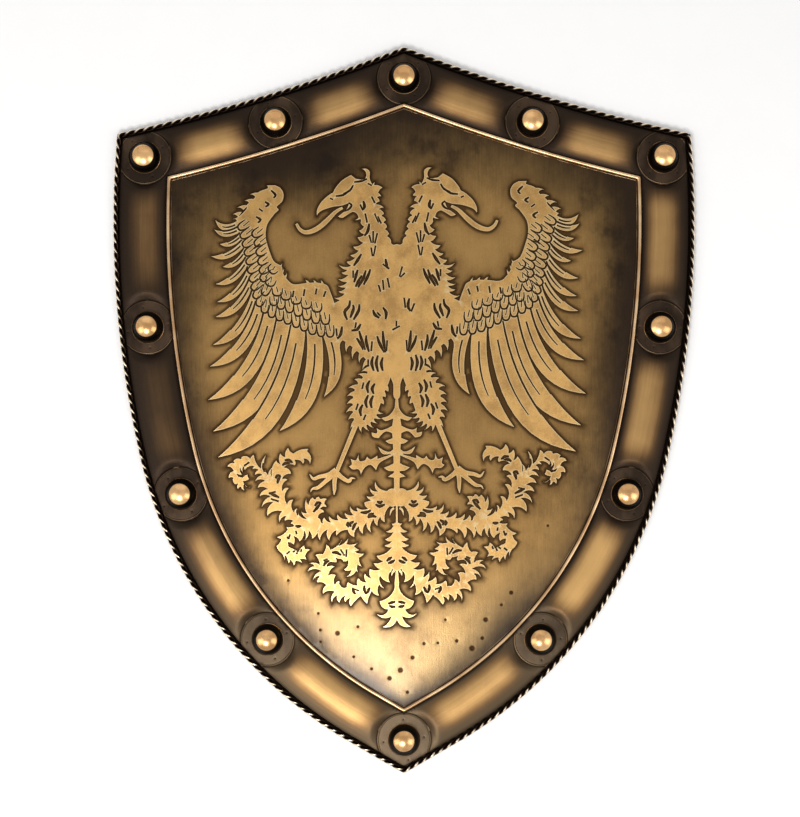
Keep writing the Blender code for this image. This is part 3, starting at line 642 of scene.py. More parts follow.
# short strokes etched in the plumage: each a bent line of two or three points
strokes = {
    "head": (
        ((61, 432.3), (54, 433.3), (48.9, 436.5)), ((53.3, 434.6), (47, 438), (43.8, 443.1)), ((66.7, 430),
        (64, 429)), ((48.2, 425.5), (45.2, 423), (48, 419), (53, 417)), ((42.5, 446.5), (35.5, 447.4),
        (30, 449.6)), ((29, 445), (25.3, 443)),
    ),
    "neck": (
        ((25.2, 431.6), (22.1, 425.3)), ((33.5, 427.2), (32.3, 421.4), (34.6, 418)), ((36.6, 423.6),
        (34.6, 419)), ((31.6, 414.4), (29.7, 405.5)), ((22.1, 414.4), (18.2, 405.5)), ((19.2, 411.5),
        (15.6, 404.5)), ((27.6, 404.2), (29.1, 396.6), (32.3, 392.1)), ((27.6, 392.7), (25.3, 385)),
        ((23.6, 396.6), (23.6, 385)), ((19.5, 394.7), (22, 384.5)), ((25.6, 380), (24.2, 371.7)),
        ((21.2, 382), (23.4, 371.7)), ((35.5, 373.6), (39.3, 367.2), (42.9, 362.1)),
    ),
    "breast": (
        ((43.5, 357), (43.5, 350)), ((39, 357.7), (40.6, 352.6), (42.5, 345.5)), ((35, 352), (38.5, 346),
        (41, 341)), ((31, 357), (33.5, 349.5), (38.5, 340.4)), ((26.5, 358.3), (28.4, 352.6), (33, 343)),
        ((46.7, 327), (47.6, 321.3), (52, 315.6), (49.5, 308)), ((43.7, 322.6), (43.1, 318.8), (46.3, 310)),
        ((37.4, 323.2), (38, 317), (43.1, 308)), ((36.1, 303.5), (39.3, 298.4), (45, 297)), ((40.5, 305),
        (41.5, 299.5)), ((54.6, 301), (55.9, 293.3), (59, 289)), ((60.3, 299), (59.7, 292)), ((39.9, 289.4),
        (35.5, 283), (33.5, 278)), ((37.4, 296.4), (35.5, 289.4), (31.6, 277.9)), ((30.4, 292),
        (30.4, 285.6), (27.8, 276)), ((24.6, 286), (25.5, 276.7)), ((19.5, 291.3), (17.5, 285),
        (12.5, 275.4)), ((14, 296.4), (13.1, 285.6), (11.4, 275.4)), ((9.6, 287), (10.4, 276.7)),
    ),
    "thigh": (
        ((14, 270), (15.5, 264), (14, 257)), ((18.8, 272), (20.5, 264.5), (18.6, 256)), ((23.6, 271),
        (25, 264.5), (23, 257)), ((28.4, 268), (28.6, 263)), ((22, 244), (24.5, 239), (23, 234)),
        ((27, 247), (29.6, 241), (28.4, 235)), ((33, 245), (34.5, 239)), ((23.5, 232), (26, 226),
        (25, 220)), ((28.5, 232.5), (31, 226), (29.6, 220)), ((34, 223), (36.5, 217.5), (35.5, 212)),
        ((38.5, 224), (40.5, 218)), ((31, 213), (33, 208)),
    ),
    "knob": (
        ((126, 438.5), (121.5, 434), (123.5, 431)), ((132, 427), (128.5, 424.5), (131.5, 422)), ((138, 420),
        (134.5, 417.5)), ((141, 412), (136.5, 409), (139, 406)),
    ),
    "arm": (
        ((137, 384.5), (143, 380)), ((132, 374), (138.5, 370)), ((103, 337), (104, 331)), ((92, 338.5),
        (93, 332)), ((80, 339), (81, 333.5)), ((71, 336.5), (73, 331)),
    ),
}
# strokes near the middle that have no twin: positive to the left
middleStrokes = (
    ((11.2, 368.5), (9.9, 361), (7.6, 359)), ((13.8, 363.5), (8.6, 359.4)), ((-5.4, 360.9), (-2.8, 351)),
    ((-7.8, 354.5), (-3.6, 350.6)), ((18.2, 342.4), (16.3, 336)), ((14, 347.5), (13.1, 337.9)),
    ((9.3, 349.4), (7.4, 340)), ((-7.3, 329.6), (-8.5, 320)), ((-12.4, 329), (-11.1, 321.5),
    (-13.6, 316.2)), ((-17.5, 324), (-14.3, 316)), ((23.6, 317.5), (22, 313), (17.6, 309.6)), ((19.5, 315),
    (16.3, 311.6)), ((13.8, 320), (10.6, 315), (11.2, 308.4)), ((0.4, 306.6), (0.4, 301.3)), ((-2.8, 301.5),
    (4.2, 297.7)),
)


etchedWidths = {"plumage": (1.3, 3.0, 1.3), "head": (1.1, 1.9, 1.1), "knob": (1.1, 2.2, 1.1)}


def etched(line, group="plumage"):
    return strip(line, etchedWidths.get(group, etchedWidths["plumage"]), 3)


# the leafy stem's scrolls, left half as drawn: for every edge how far its leaves curl, then notches and tips
# of leaves by turns
foliage = {
    "vine": (
        (0.0, ((0, 139.5), (0, 123))),
        (0.14, ((0, 123), (7, 122), (11.5, 106), (16.5, 111), (18.5, 102), (23, 109), (25.5, 96),
        (30.5, 105), (33, 94), (38, 102), (42, 91), (49, 98.5), (60, 92.5), (60, 98.5), (67, 87.5),
        (69.5, 98.5), (76.5, 88), (78, 99.5))),
        (0.14, ((78, 99.5), (85, 89), (87.5, 97.5), (92, 88), (92.5, 98), (97, 86.5), (102.5, 92),
        (103, 83.5), (108.5, 86))),
        (0.0, ((108.5, 86), (108, 82), (103.5, 80), (98, 77))),
        (0.1, ((98, 77), (92, 83.5), (91, 79.5), (86, 79), (91.5, 72), (90, 68.5), (96.5, 69), (94.5, 65),
        (101, 67.5), (103, 62.5), (106.5, 68.5), (108.5, 64.5), (112, 73.5), (112.5, 67.5), (115.5, 75.5),
        (120.5, 82.5), (115.5, 89.5), (120, 91.5), (109, 99), (110.5, 102), (102.5, 102.5))),
        (-0.16, ((102.5, 102.5), (106, 104.5), (103.5, 107.5), (112, 107), (110, 112.5), (117, 106),
        (115, 117), (129.5, 112), (124, 126), (135, 121), (126.5, 132), (137.5, 131.5), (129.5, 139.5),
        (139.5, 140), (131.5, 147.5), (141.5, 147), (134, 153.5), (142, 153), (138.5, 158.5),
        (144.5, 158.5), (142, 162))),
        (-0.16, ((142, 162), (152, 158), (152.5, 162.5), (153.5, 156), (156.5, 161), (154, 153.5),
        (160, 155))),
        (0.0, ((160, 155), (158.5, 152), (154, 151))),
        (0.1, ((154, 151), (149, 154), (147, 149.5), (153.5, 147))),
        (-0.2, ((153.5, 147), (145.5, 141.5), (152.5, 144), (151.5, 138), (156, 141.5), (158.5, 138.5),
        (159, 144.5), (161, 143.5), (164, 150.5), (168.5, 149.5), (163.5, 157.5), (170, 161.5),
        (162.5, 165.5), (164, 167), (156, 169.5), (155.5, 171.5), (146.5, 170))),
        (0.1, ((146.5, 170), (142.5, 174), (135.5, 159.5))),
        (0.14, ((135.5, 159.5), (130.5, 173), (128.5, 153), (124, 161), (124.5, 151.5), (120, 168.5),
        (116.5, 164.5), (116, 175.5), (111.5, 171.5), (108, 181), (103, 175))),
        (0.1, ((103, 175), (87.5, 179.5))),
        (0.2, ((89, 177), (86.5, 164), (92.5, 169.5), (93.5, 164), (101.5, 168), (101.5, 162.5), (112, 161),
        (105, 154), (114.5, 149))),
        (0.2, ((114.5, 149), (108.5, 148.5), (114, 138), (107, 140.5), (109.5, 124.5), (102.5, 129),
        (102.5, 116.5), (98.5, 120.5), (98.5, 112.5), (97.5, 115.5))),
        (-0.15, ((98, 115), (89.5, 109.5))),
        (0.12, ((89.5, 109.5), (95.5, 117.5), (90, 115.5), (90, 130), (88, 124), (83.5, 131.5), (81.5, 129),
        (77.5, 132), (75.5, 129.5), (69, 129.5), (72, 124.5))),
        (0.2, ((72, 124.5), (70, 121), (76.5, 119.5), (72, 116), (78.5, 111))),
        (0.16, ((78.5, 111), (75.5, 107), (74, 105.5), (72, 111.5), (65.5, 106), (67.5, 113), (58.5, 108.5),
        (59, 114.5), (48.5, 109.5), (52, 116.5), (43.5, 113.5), (46.5, 122.5), (38.5, 117), (40, 121.5),
        (29, 120), (32.5, 126))),
        (0.16, ((25.5, 128), (30.5, 133), (22.5, 133), (27, 141), (19.5, 137), (21.5, 146.5), (10, 137.5),
        (1, 139.5))),
    ),
    "scroll": (
        (0.0, ((0, 106), (2.5, 106))),
        (0.12, ((2.5, 105.5), (5.5, 105.5), (3.5, 102.5), (11.5, 97), (4, 96), (12.5, 89.5), (5.5, 87),
        (13, 83.5), (5.5, 81), (20.5, 73), (14, 67.5), (23.5, 66), (17, 59.5), (27, 60), (26, 50.5),
        (32, 56), (31, 46.5), (38.5, 51), (39.5, 43.5), (48.5, 47), (50, 41.5))),
        (0.14, ((50, 41.5), (55.5, 42), (56, 43), (57, 48), (62, 43.5))),
        (0.14, ((62, 43.5), (60.5, 53.5), (68, 53.5), (61.5, 62), (69.5, 62), (60, 66), (61, 71))),
        (-0.1, ((61, 71), (55.5, 69.5), (53.5, 67), (48.5, 68), (48.5, 67.5))),
        (0.16, ((48.5, 67.5), (53, 59), (45.5, 58.5), (51, 52), (40.5, 57.5))),
        (-0.1, ((40.5, 57.5), (38.5, 56.5), (39, 64), (34.5, 62), (37.5, 71), (32, 75.5), (42, 77),
        (37, 79), (42.5, 82.5), (39, 86), (50, 84.5), (48.5, 90.5), (58.5, 82.5), (55, 89), (66, 79),
        (70.5, 84.5), (74, 74.5), (81.5, 73.5), (77, 64))),
        (-0.16, ((77, 64), (87.5, 65), (82.5, 62.5), (89, 57), (75.5, 57.5), (84, 48), (76.5, 52.5))),
        (-0.16, ((76.5, 52.5), (79.5, 46), (70.5, 43.5), (74, 34.5), (62.5, 37), (64.5, 24.5), (60, 33),
        (57, 25.5), (52, 32.5), (51, 26), (46.5, 30.5), (46, 22))),
        (0.05, ((46, 22), (36, 32.5), (29.5, 24.5), (25, 37.5))),
        (-0.14, ((25, 37.5), (17.5, 33), (17.5, 44), (12.5, 40.5), (17, 53.5), (6.5, 46), (7, 56),
        (4.5, 59.5))),
        (0.0, ((4.5, 59.5), (1, 57), (0, 57))),
    ),
    "palmette": (
        (0.0, ((-0.5, 61.5), (1.5, 56.5), (2.5, 45.5))),
        (0.1, ((2.5, 45.5), (4.5, 36), (4.5, 36), (17.5, 27.5))),
        (-0.2, ((17.5, 27.5), (8.5, 19))),
        (0.25, ((8.5, 19), (20, 14.5))),
        (-0.2, ((20, 14.5), (5.5, 12))),
        (0.1, ((5.5, 12), (14, 1.5))),
        (-0.25, ((14, 1.5), (-0.5, 11))),
    ),
    "ticks": (
        ((111.5, 168), (107.5, 168), (104, 165.5)), ((114, 163), (111, 165), (106.5, 165.5)), ((121, 150),
        (119, 152.5), (116, 152.5)), ((116, 152.5), (118, 149), (119, 145)), ((127.5, 135.5), (123, 133.5),
        (117.5, 131)), ((127, 135), (121, 136.5)), ((125.5, 129.5), (118, 127)), ((133, 165), (133, 161.5),
        (132, 156.5)), ((152.5, 162.5), (147.5, 166)), ((101, 102.5), (98.5, 102), (95.5, 102.5)),
        ((100.5, 97.5), (100, 94.5)), ((109.5, 91.5), (108, 89.5)), ((108, 89.5), (106.5, 94)),
        ((83, 116.5), (79.5, 120.5), (75.5, 125.5)), ((81.5, 122.5), (79, 125.5), (75.5, 125.5)),
        ((110, 74.5), (107, 77)), ((103.5, 76.5), (101.5, 78)), ((100, 74.5), (99, 77)), ((96, 76.5),
        (95, 79)), ((48, 106.5), (49, 104), (48, 101.5)), ((43, 107), (46.5, 104.5), (45.5, 102)),
        ((40, 105.5), (42, 103.5), (44, 98.5)), ((36, 116), (30.5, 116), (26, 118)), ((23, 115),
        (27, 113.5), (28.5, 111)), ((28.5, 111), (24.5, 112.5), (20.5, 111.5)), ((21, 124), (17, 122),
        (12, 124)), ((19.5, 127), (16.5, 125.5), (14.5, 127.5)), ((64.5, 76), (60, 76), (55.5, 73.5)),
        ((56, 79), (52, 73)), ((50, 79), (50.5, 72)), ((73, 68), (69, 69.5)), ((73, 62.5), (71, 66),
        (67.5, 68)), ((69.5, 62.5), (66.5, 65), (62, 65.5)), ((10, 67.5), (8, 69.5), (5, 71.5)),
        ((8.5, 65.5), (5.5, 66.5), (2, 68.5)), ((43.5, 41), (43.5, 38), (41.5, 34.5)), ((43, 40), (38, 38)),
        ((32, 43), (32.5, 40), (31, 35)), ((31, 35), (29, 37), (27, 41)), ((8.5, 25), (6, 26), (1.5, 27)),
        ((7.5, 23), (5, 22), (1.5, 22)),
    ),
    "sprigs": (
        ((2.5, 120.5), (5.5, 118), (7, 112)), ((2.5, 58), (4.5, 56), (5, 52.5)),
    ),
}


def leafyEdge(runs):
    made = []
    for curl, points in runs:
        for number, (start, end) in enumerate(zip(points, points[1:])):
            made += bow(start, end, -curl if number % 2 else curl, 5)
        made.append(points[-1])
    return [spot for spot, after in zip(made, made[1:] + made[:1]) if math.dist(spot, after) > 0.05]


def leafyStem():
    stem = [(0, 229), (0, 215), (0, 200), (0, 180), (0, 160), (0, 144), (0, 136)]
    made = strip(stem, (3, 6, 11, 8, 7, 6, 6), 1) + strip([(0, 125), (0, 104)], (2.4, 2.4), 1)
    made += [
        trace([(0, 226), (4, 217), (9, 212), (15.6, 210)], [(15.6, 210), (11, 206.5), (3, 209), (0, 206)]),
        trace([(2, 204), (9, 200), (16, 198), (20.5, 200.5)], [(20.5, 200.5), (20, 195), (25.5, 196)],
              [(25.5, 196), (24, 191), (18, 189.5)], [(18, 189.5), (13, 195), (8.5, 196), (0, 192)]),
        trace([(0, 192), (7, 189), (12, 187)], [(12, 187), (7, 184), (0, 184)]),
        trace([(0, 184), (6, 177), (12, 177.5), (19.2, 182)],
              [(19.2, 182), (15, 174.5), (9, 173.5), (0, 176)]),
        trace([(1, 180), (6, 174), (13, 171.5), (19, 169.5)], [(19, 169.5), (19, 173)],
              [(19, 173), (26, 169), (29.5, 172)], [(29.5, 172), (32, 168), (37, 167.5), (38, 174)],
              [(38, 174), (41, 168), (46.4, 170)], [(46.4, 170), (45, 164), (48, 162)],
              [(48, 162), (44, 158.5), (38, 158.5), (35.7, 153)],
              [(35.7, 153), (32, 160), (26, 163), (20.5, 157.5)],
              [(20.5, 157.5), (17, 165), (8, 170), (0, 174)]),
        trace([(0, 168), (5, 164), (13.4, 160.5)], [(13.4, 160.5), (8, 157), (0, 157)]),
        trace([(0, 157), (4, 155), (9.6, 151.2)], [(9.6, 151.2), (3, 150), (0, 147)]),
    ]
    for name in ("vine", "scroll", "palmette"):
        made.append(leafyEdge(foliage[name]))
    for sprig in foliage["sprigs"]:
        made += strip(sprig, (3, 2.4, 0.6), 3)
    return made


def onField(shape, side):
    step = eagle["span"] / eagle["steps"]
    lift = eagle["lift"] + side * eagle["skew"]
    return [point(eagle["shift"] + side * out * step, eagle["foot"] + (up + abs(out) * lift) * step)
            for out, up in shape]


def reliefPatches():
    feathers, featherLines = wingFeathers()
    half = wingArm() + headAndBody() + feathers + hornAndTongue() + plumage() + legAndClaws() + leafyStem()
    halfCuts = featherLines + covertScales()
    for group, lines in [*strokes.items(), ("ticks", foliage["ticks"])]:
        for line in lines:
            halfCuts += etched(line, group)
    shapes = [onField(shape, side) for side in (-1, 1) for shape in half]
    cuts = [onField(shape, side) for side in (-1, 1) for shape in halfCuts]
    for line in middleStrokes:
        cuts += [onField(shape, -1) for shape in etched(line)]
    return shapes, cuts


def reliefBorder(shapes, cuts):
    # edges between relief and ground, with the relief on their left
    corners, faces, boxes, cutFrom = [], [], [], 0
    for number, shape in enumerate(shapes + cuts):
        area = sum(a.cross(b) for a, b in zip(shape, shape[1:] + shape[:1]))
        if abs(area) < 1e-10:
            continue
        order = list(range(len(corners), len(corners) + len(shape)))
        corners += shape
        faces.append(order if area > 0 else order[::-1])
        xs, ys = [spot.x for spot in shape], [spot.y for spot in shape]
        boxes.append((min(xs), min(ys), max(xs), max(ys)))
        if number < len(shapes):
            cutFrom = len(faces)
    made = delaunay_2d_cdt(corners, [], faces, 1, 1e-7)
    used = {}  # an edge that two triangles of the relief share drops out
    for triangle, origins in zip(made[2], made[5]):
        triangle = tuple(triangle)
        a, b, c = (made[0][index] for index in triangle)
        x, y = (a + b + c) / 3
        # a sliver may claim the whole sheet, so a patch only counts inside its own box
        real = [origin for origin in origins
                if boxes[origin][0] <= x <= boxes[origin][2] and boxes[origin][1] <= y <= boxes[origin][3]]
        if real and max(real) < cutFrom:
            if (b - a).cross(c - a) < 0:
                triangle = triangle[::-1]
            for edge in zip(triangle, triangle[1:] + triangle[:1]):
                if used.pop(edge[::-1], None) is None:
                    used[edge] = True
    return made[0], list(used)


def raisedFaces(faces, walls):
    # from the rim inwards, every wall crossed turns ground into relief and back
    owners = {}
    for index, face in enumerate(faces):
        for a, b in zip(face, face[1:] + face[:1]):
            owners.setdefault((min(a, b), max(a, b)), []).append(index)
    first = next(pair[0] for pair in owners.values() if len(pair) == 1)
    state = {first: False}
    queue = [first]
    while queue:
        index = queue.pop()
        face = faces[index]
        for a, b in zip(face, face[1:] + face[:1]):
            key = (min(a, b), max(a, b))
            for other in owners[key]:
                if other not in state:
                    state[other] = state[index] != (key in walls)
                    queue.append(other)
    return [state[index] for index in range(len(faces))]


field = {
    "lap": 0.0060, "margin": 0.0036, "rise": 0.0160, "softness": 0.30,
    "grid": 0.0050, "underGrid": 0.0150,
    # rows of points beside the relief's edge: distance, spacing, 1 for inside it and -1 for outside
    "rings": ((0.0011, 0.0014, 1), (0.0012, 0.0015, -1), (0.0030, 0.0025, -1)),
    "ringThin": 0.62, "ringClear": 0.8,  # nearest they come to each other and to the edge, as shares
    # painted shade on the ground and painted highlight on the relief's rim: how strong at these distances
    # from the edge
    "shade": ((0.0, 0.0012, 0.0030, 0.0055, 0.0105), (1.0, 0.90, 0.36, 0.16, 0.0)),
    "rimHighlight": ((0.0, 0.0004, 0.0011), (1.0, 1.0, 0.0)),
    "pitDepth": 0.0003,
    # how far the dark edge reaches in, at these heights: patina, partly painted shade where the lamp's glare
    # falls off
    "darkEdgeHeights": (-0.24, -0.20, -0.10, 0.03, 0.13, 0.23),
    "darkEdgeReach": (0.015, 0.028, 0.041, 0.033, 0.040, 0.122),
    "darkEdgeSkew": (1.0, 2.2, 2.4, 0.5, -0.2, 0.5),  # how much wider on the right than on the left; low down this is painted shade beside the glare
}
field["domeInset"] = border["reach"] + field["margin"]
field["level"] = border["edgeLevel"] - shield["sheet"] - shield["gap"]
domeLine = halfOutline(field["domeInset"])
domeXs, domeYs = asArray(domeLine).T


def domeShare(spots):
    x, y = numpy.abs(spots[:, 0]), spots[:, 1]
    top, cornerY = fine[0], domeYs[fine[0]]
    radius = shield["upperRadius"] - field["domeInset"]
    above = upperCentre.x + numpy.sqrt(numpy.maximum(radius ** 2 - (y - shield["widestHeight"]) ** 2, 0.0))
    beside = numpy.interp(y, domeYs[top:][::-1], domeXs[top:][::-1], left=0.0)
    width = numpy.where(y > cornerY, above, beside)
    soft = numpy.sqrt(x ** 2 + field["domeInset"] ** 2 / 4)
    reach = numpy.interp(soft, domeXs[:top + 1], domeYs[:top + 1])
    middle = numpy.interp(field["domeInset"] / 2, domeXs[:top + 1], domeYs[:top + 1])
    across = numpy.maximum(width ** 2 - x ** 2, 0.0) / domeXs[top] ** 2
    return across * numpy.maximum(reach - y, 0.0) / (middle - domeYs[-1])


domePeak = domeShare(numpy.array([(0.0, halfHeight * step / 50) for step in range(-40, 40)])).max()


def fieldTop(spots):
    share = numpy.minimum(domeShare(spots) / domePeak, 1.0)
    full = math.sqrt(1 + field["softness"] ** 2) - field["softness"]
    bulge = numpy.sqrt(share + field["softness"] ** 2) - field["softness"]
    return field["level"] + field["rise"] * bulge / full


# dark pits near the foot of the field: place from the middle and how far out they fade, in millimetres
pits = (
    (-54.6, -183.3, 2.6), (-68.7, -180.8, 1.6), (-68.7, -190.7, 1.4), (-37.7, -177.8, 1.6),
    (-41.3, -202.8, 1.5), (-26.6, -212.8, 1.6), (-2.9, -213.8, 2.9), (7.1, -203.3, 2.2),
    (16.5, -191.7, 1.8), (27.9, -191.2, 1.5), (43.4, -189.6, 1.9), (56.0, -195.9, 3.0), (64.4, -187.5, 2.0),
    (67.0, -172.2, 2.6), (-11.8, -220.6, 2.4), (2.9, -232.2, 1.8), (-70.3, -167.0, 1.5),
    (88.0, -150.0, 2.2), (80.0, -160.0, 1.6), (34.0, -172.0, 1.4), (-95.0, -140.0, 1.5), (118.0, -95.0, 1.4),
)


def scatterGrid(spacing, inset):
    rows = int(halfHeight / spacing)
    spots = numpy.array([((column + 0.5 * (row % 2)) * spacing, row * spacing * math.sqrt(3) / 2)
                         for row in range(-rows - 20, rows + 20) for column in range(-rows, rows + 1)])
    return spots[insetOf(spots) > inset]


def distances(spots, tree):
    return numpy.array([tree.find((x, y, 0.0))[2] for x, y in spots])


def makeTree(spots):
    tree = kdtree.KDTree(len(spots))
    for index, (x, y) in enumerate(spots):
        tree.insert((x, y, 0.0), index)
    tree.balance()
    return tree


def ringSpots(verts, edges, tree):
    # loose spots beside the relief's edge, where shade and light fade out
    kept = {}
    for reach, spacing, side in field["rings"]:
        cell = spacing * field["ringThin"]
        for a, b in edges:
            start, along = verts[a], verts[b] - verts[a]
            length = along.length
            normal = point(-along.y, along.x) / length * side * reach
            count = max(1, round(length / spacing))
            for step in range(count):
                spot = start + along * ((step + 0.5) / count) + normal
                key = (reach * side, round(spot.x / cell), round(spot.y / cell))
                if key not in kept and tree.find((spot.x, spot.y, 0.0))[2] > reach * field["ringClear"]:
                    kept[key] = spot
    return list(kept.values())


def borderSamples(verts, edges, spacing=0.0004):
    spots = []
    for a, b in edges:
        count = max(1, math.ceil((verts[b] - verts[a]).length / spacing))
        spots += [tuple(verts[a].lerp(verts[b], step / count)) for step in range(count)]
    return spots


def bevelled(flat, edges, tree):
    # top corners of the relief move in a little, unless that brings them near another wall
    moved = flat.copy()
    normals = {}
    for a, b in edges:
        along = (flat[b] - flat[a]) / max(numpy.hypot(*(flat[b] - flat[a])), 1e-9)
        for corner in (a, b):
            normals.setdefault(corner, []).append(numpy.array((-along[1], along[0])))
    for corner, sides in normals.items():
        if len(sides) != 2:
            continue
        mean = sides[0] + sides[1]
        size = mean.dot(mean)
        if size < 0.5:
            continue
        mitre = mean * 2 / size
        for share in (1.0, 0.5):
            goal = flat[corner] + mitre * eagle["bevel"] * share
            if tree.find((goal[0], goal[1], 0.0))[2] > eagle["bevel"] * share * 0.85:
                moved[corner] = goal
                break
    return moved


def buildField(material):
    rim = fullOutline(border["reach"] - field["lap"])
    beadLine = fullOutline(field["domeInset"])
    verts, edges = reliefBorder(*reliefPatches())
    used = sorted({corner for edge in edges for corner in edge})
    number = {corner: index for index, corner in enumerate(used)}
    borderSpots = [verts[corner] for corner in used]
    tree = makeTree(borderSamples(verts, edges))
    print("relief border has", len(edges), "edges")
    rings = ringSpots(verts, edges, tree)
    grid = scatterGrid(field["grid"], field["domeInset"] + field["grid"] * 0.4)
    grid = grid[distances(grid, tree) > field["grid"] * 0.55]
    loose = rings + [point(x, y) for x, y in grid]
    for x, y, size in pits:
        spot, size = point(x, y) / 1000, size / 1000
        if tree.find((spot.x, spot.y, 0.0))[2] > size:
            loose += [spot] + circle(spot, size * 0.5, 7) + circle(spot, size * 1.1, 10)
    borderEdges = [(number[a], number[b]) for a, b in edges]
    flat, faces, walls = triangulate([rim, beadLine], borderEdges, borderSpots + loose)
    faces = wound(flat, faces, True)
    raised = raisedFaces(faces, walls)
    count = len(flat)
    away = distances(flat, tree)

    # corners of the relief get a twin on top; a corner inside it moves up with it
    onTop = sorted({index for face, up in zip(faces, raised) if up for index in face})
    lifted = {index: count + place for place, index in enumerate(onTop)}
    directed = [edge for face, up in zip(faces, raised) if up for edge in zip(face, face[1:] + face[:1])]
    directedSet = set(directed)
    wallEdges = [edge for edge in directed if edge[::-1] not in directedSet]
    moved = bevelled(flat, wallEdges, tree)
    topFaces = [tuple(lifted[index] for index in face) if up else face for face, up in zip(faces, raised)]
    topFaces += [(a, b, lifted[b], lifted[a]) for a, b in wallEdges]
    plan = numpy.vstack([flat, moved[onTop]])
    heights = fieldTop(plan)
    heights[count:] += eagle["height"]
    deep = numpy.zeros(len(plan))
    for x, y, size in pits:
        reach = numpy.hypot(plan[:, 0] - x / 1000, plan[:, 1] - y / 1000) / (size / 1000)
        deep = numpy.maximum(deep, 1 - stepUp(reach, 0.15, 1.1))
    deep[count:] = 0.0
    heights -= field["pitDepth"] * deep

    # ground corners under the relief are dropped
    live, topFaces = onlyUsed(topFaces)
    isTop = numpy.array([index >= count for index in live])
    topPlan = plan[live]
    topSpots = numpy.column_stack([topPlan, heights[live]])
    awayAll = numpy.concatenate([away, distances(moved[onTop], tree)])[live]
    shade, rimHighlight = numpy.interp(awayAll, *field["shade"]), numpy.interp(awayAll, *field["rimHighlight"])
    reach = numpy.interp(topPlan[:, 1], field["darkEdgeHeights"], field["darkEdgeReach"])
    reach *= 0.6 + 3.0 * numpy.abs(topPlan[:, 0])  # deeper in the corners than at the middle
    skew = numpy.interp(topPlan[:, 1], field["darkEdgeHeights"], field["darkEdgeSkew"])
    darkEdgeShare = (insetOf(topPlan) - field["domeInset"]) / (reach * (1 + skew * topPlan[:, 0]))

    underGrid = scatterGrid(field["underGrid"], field["domeInset"] + field["underGrid"] * 0.4)
    under, underFaces, _ = triangulate([rim, beadLine], [], [point(x, y) for x, y in underGrid])
    underFaces = wound(under, underFaces, False)
    underSpots = numpy.column_stack([under, fieldTop(under) - shield["sheet"]])
    spots, allFaces = closeSheet((topSpots, topFaces), (underSpots, underFaces))

    def withBack(values, behind=0.0):
        return numpy.concatenate([values, numpy.full(len(underSpots), behind)])

    masks = {
        "raised": withBack(isTop), "shade": withBack(numpy.where(isTop, 0.0, shade)),
        "rimHighlight": withBack(numpy.where(isTop, rimHighlight, 0.0)), "pit": withBack(deep[live]),
        "pastDarkEdge": withBack(numpy.clip(darkEdgeShare, 0.0, 2.0), 2.0),
        "back": withBack(numpy.zeros(len(topSpots)), 1.0),
        # low: the share towards the foot, where the glare is painted paler
        "low": withBack(stepUp(-topPlan[:, 1], 0.10, 0.23)),
    }
    addPiece("eagleField", spots, allFaces, material, ["field_plate"], masks)


fieldColours = {
    "gold": (0.52, 0.305, 0.105), "brown": (0.25, 0.142, 0.052), "patina": (0.026, 0.018, 0.014),
    "relief": (0.82, 0.49, 0.170), "reliefDeep": (0.50, 0.286, 0.102), "outline": (0.034, 0.015, 0.006),
    # the pale colour is the painted glare towards the foot
    # the rim colour is the painted highlight on the relief's rim
    "rim": (1.0, 0.78, 0.44), "paintedGlare": (0.48, 0.365, 0.19),
    "back": (0.20, 0.135, 0.07), "backDeep": (0.085, 0.055, 0.035),
}
fieldGrains = {
    # how fine along each axis, detail, roughness, shift
    "streaks": ((800.0, 55.0, 60.0), 4.0, 0.65),
    "clouds": ((17.0, 11.0, 17.0), 3.0, 0.55, (3.1, 0.4, 0.0)),
    "stain": ((9.0, 6.0, 9.0), 2.0, 0.5, (7.7, 2.2, 0.0)),
    "speckle": ((900.0, 900.0, 900.0), 3.0, 0.7),
    "blotch": ((75.0, 60.0, 75.0), 4.0, 0.6, (5.1, 1.7, 0.0)),
    "dirt": ((38.0, 30.0, 38.0), 4.0, 0.65, (9.3, 2.8, 0.0)),
    "smoke": ((30.0, 26.0, 30.0), 4.0, 0.6, (4.4, 9.1, 0.0)),
}


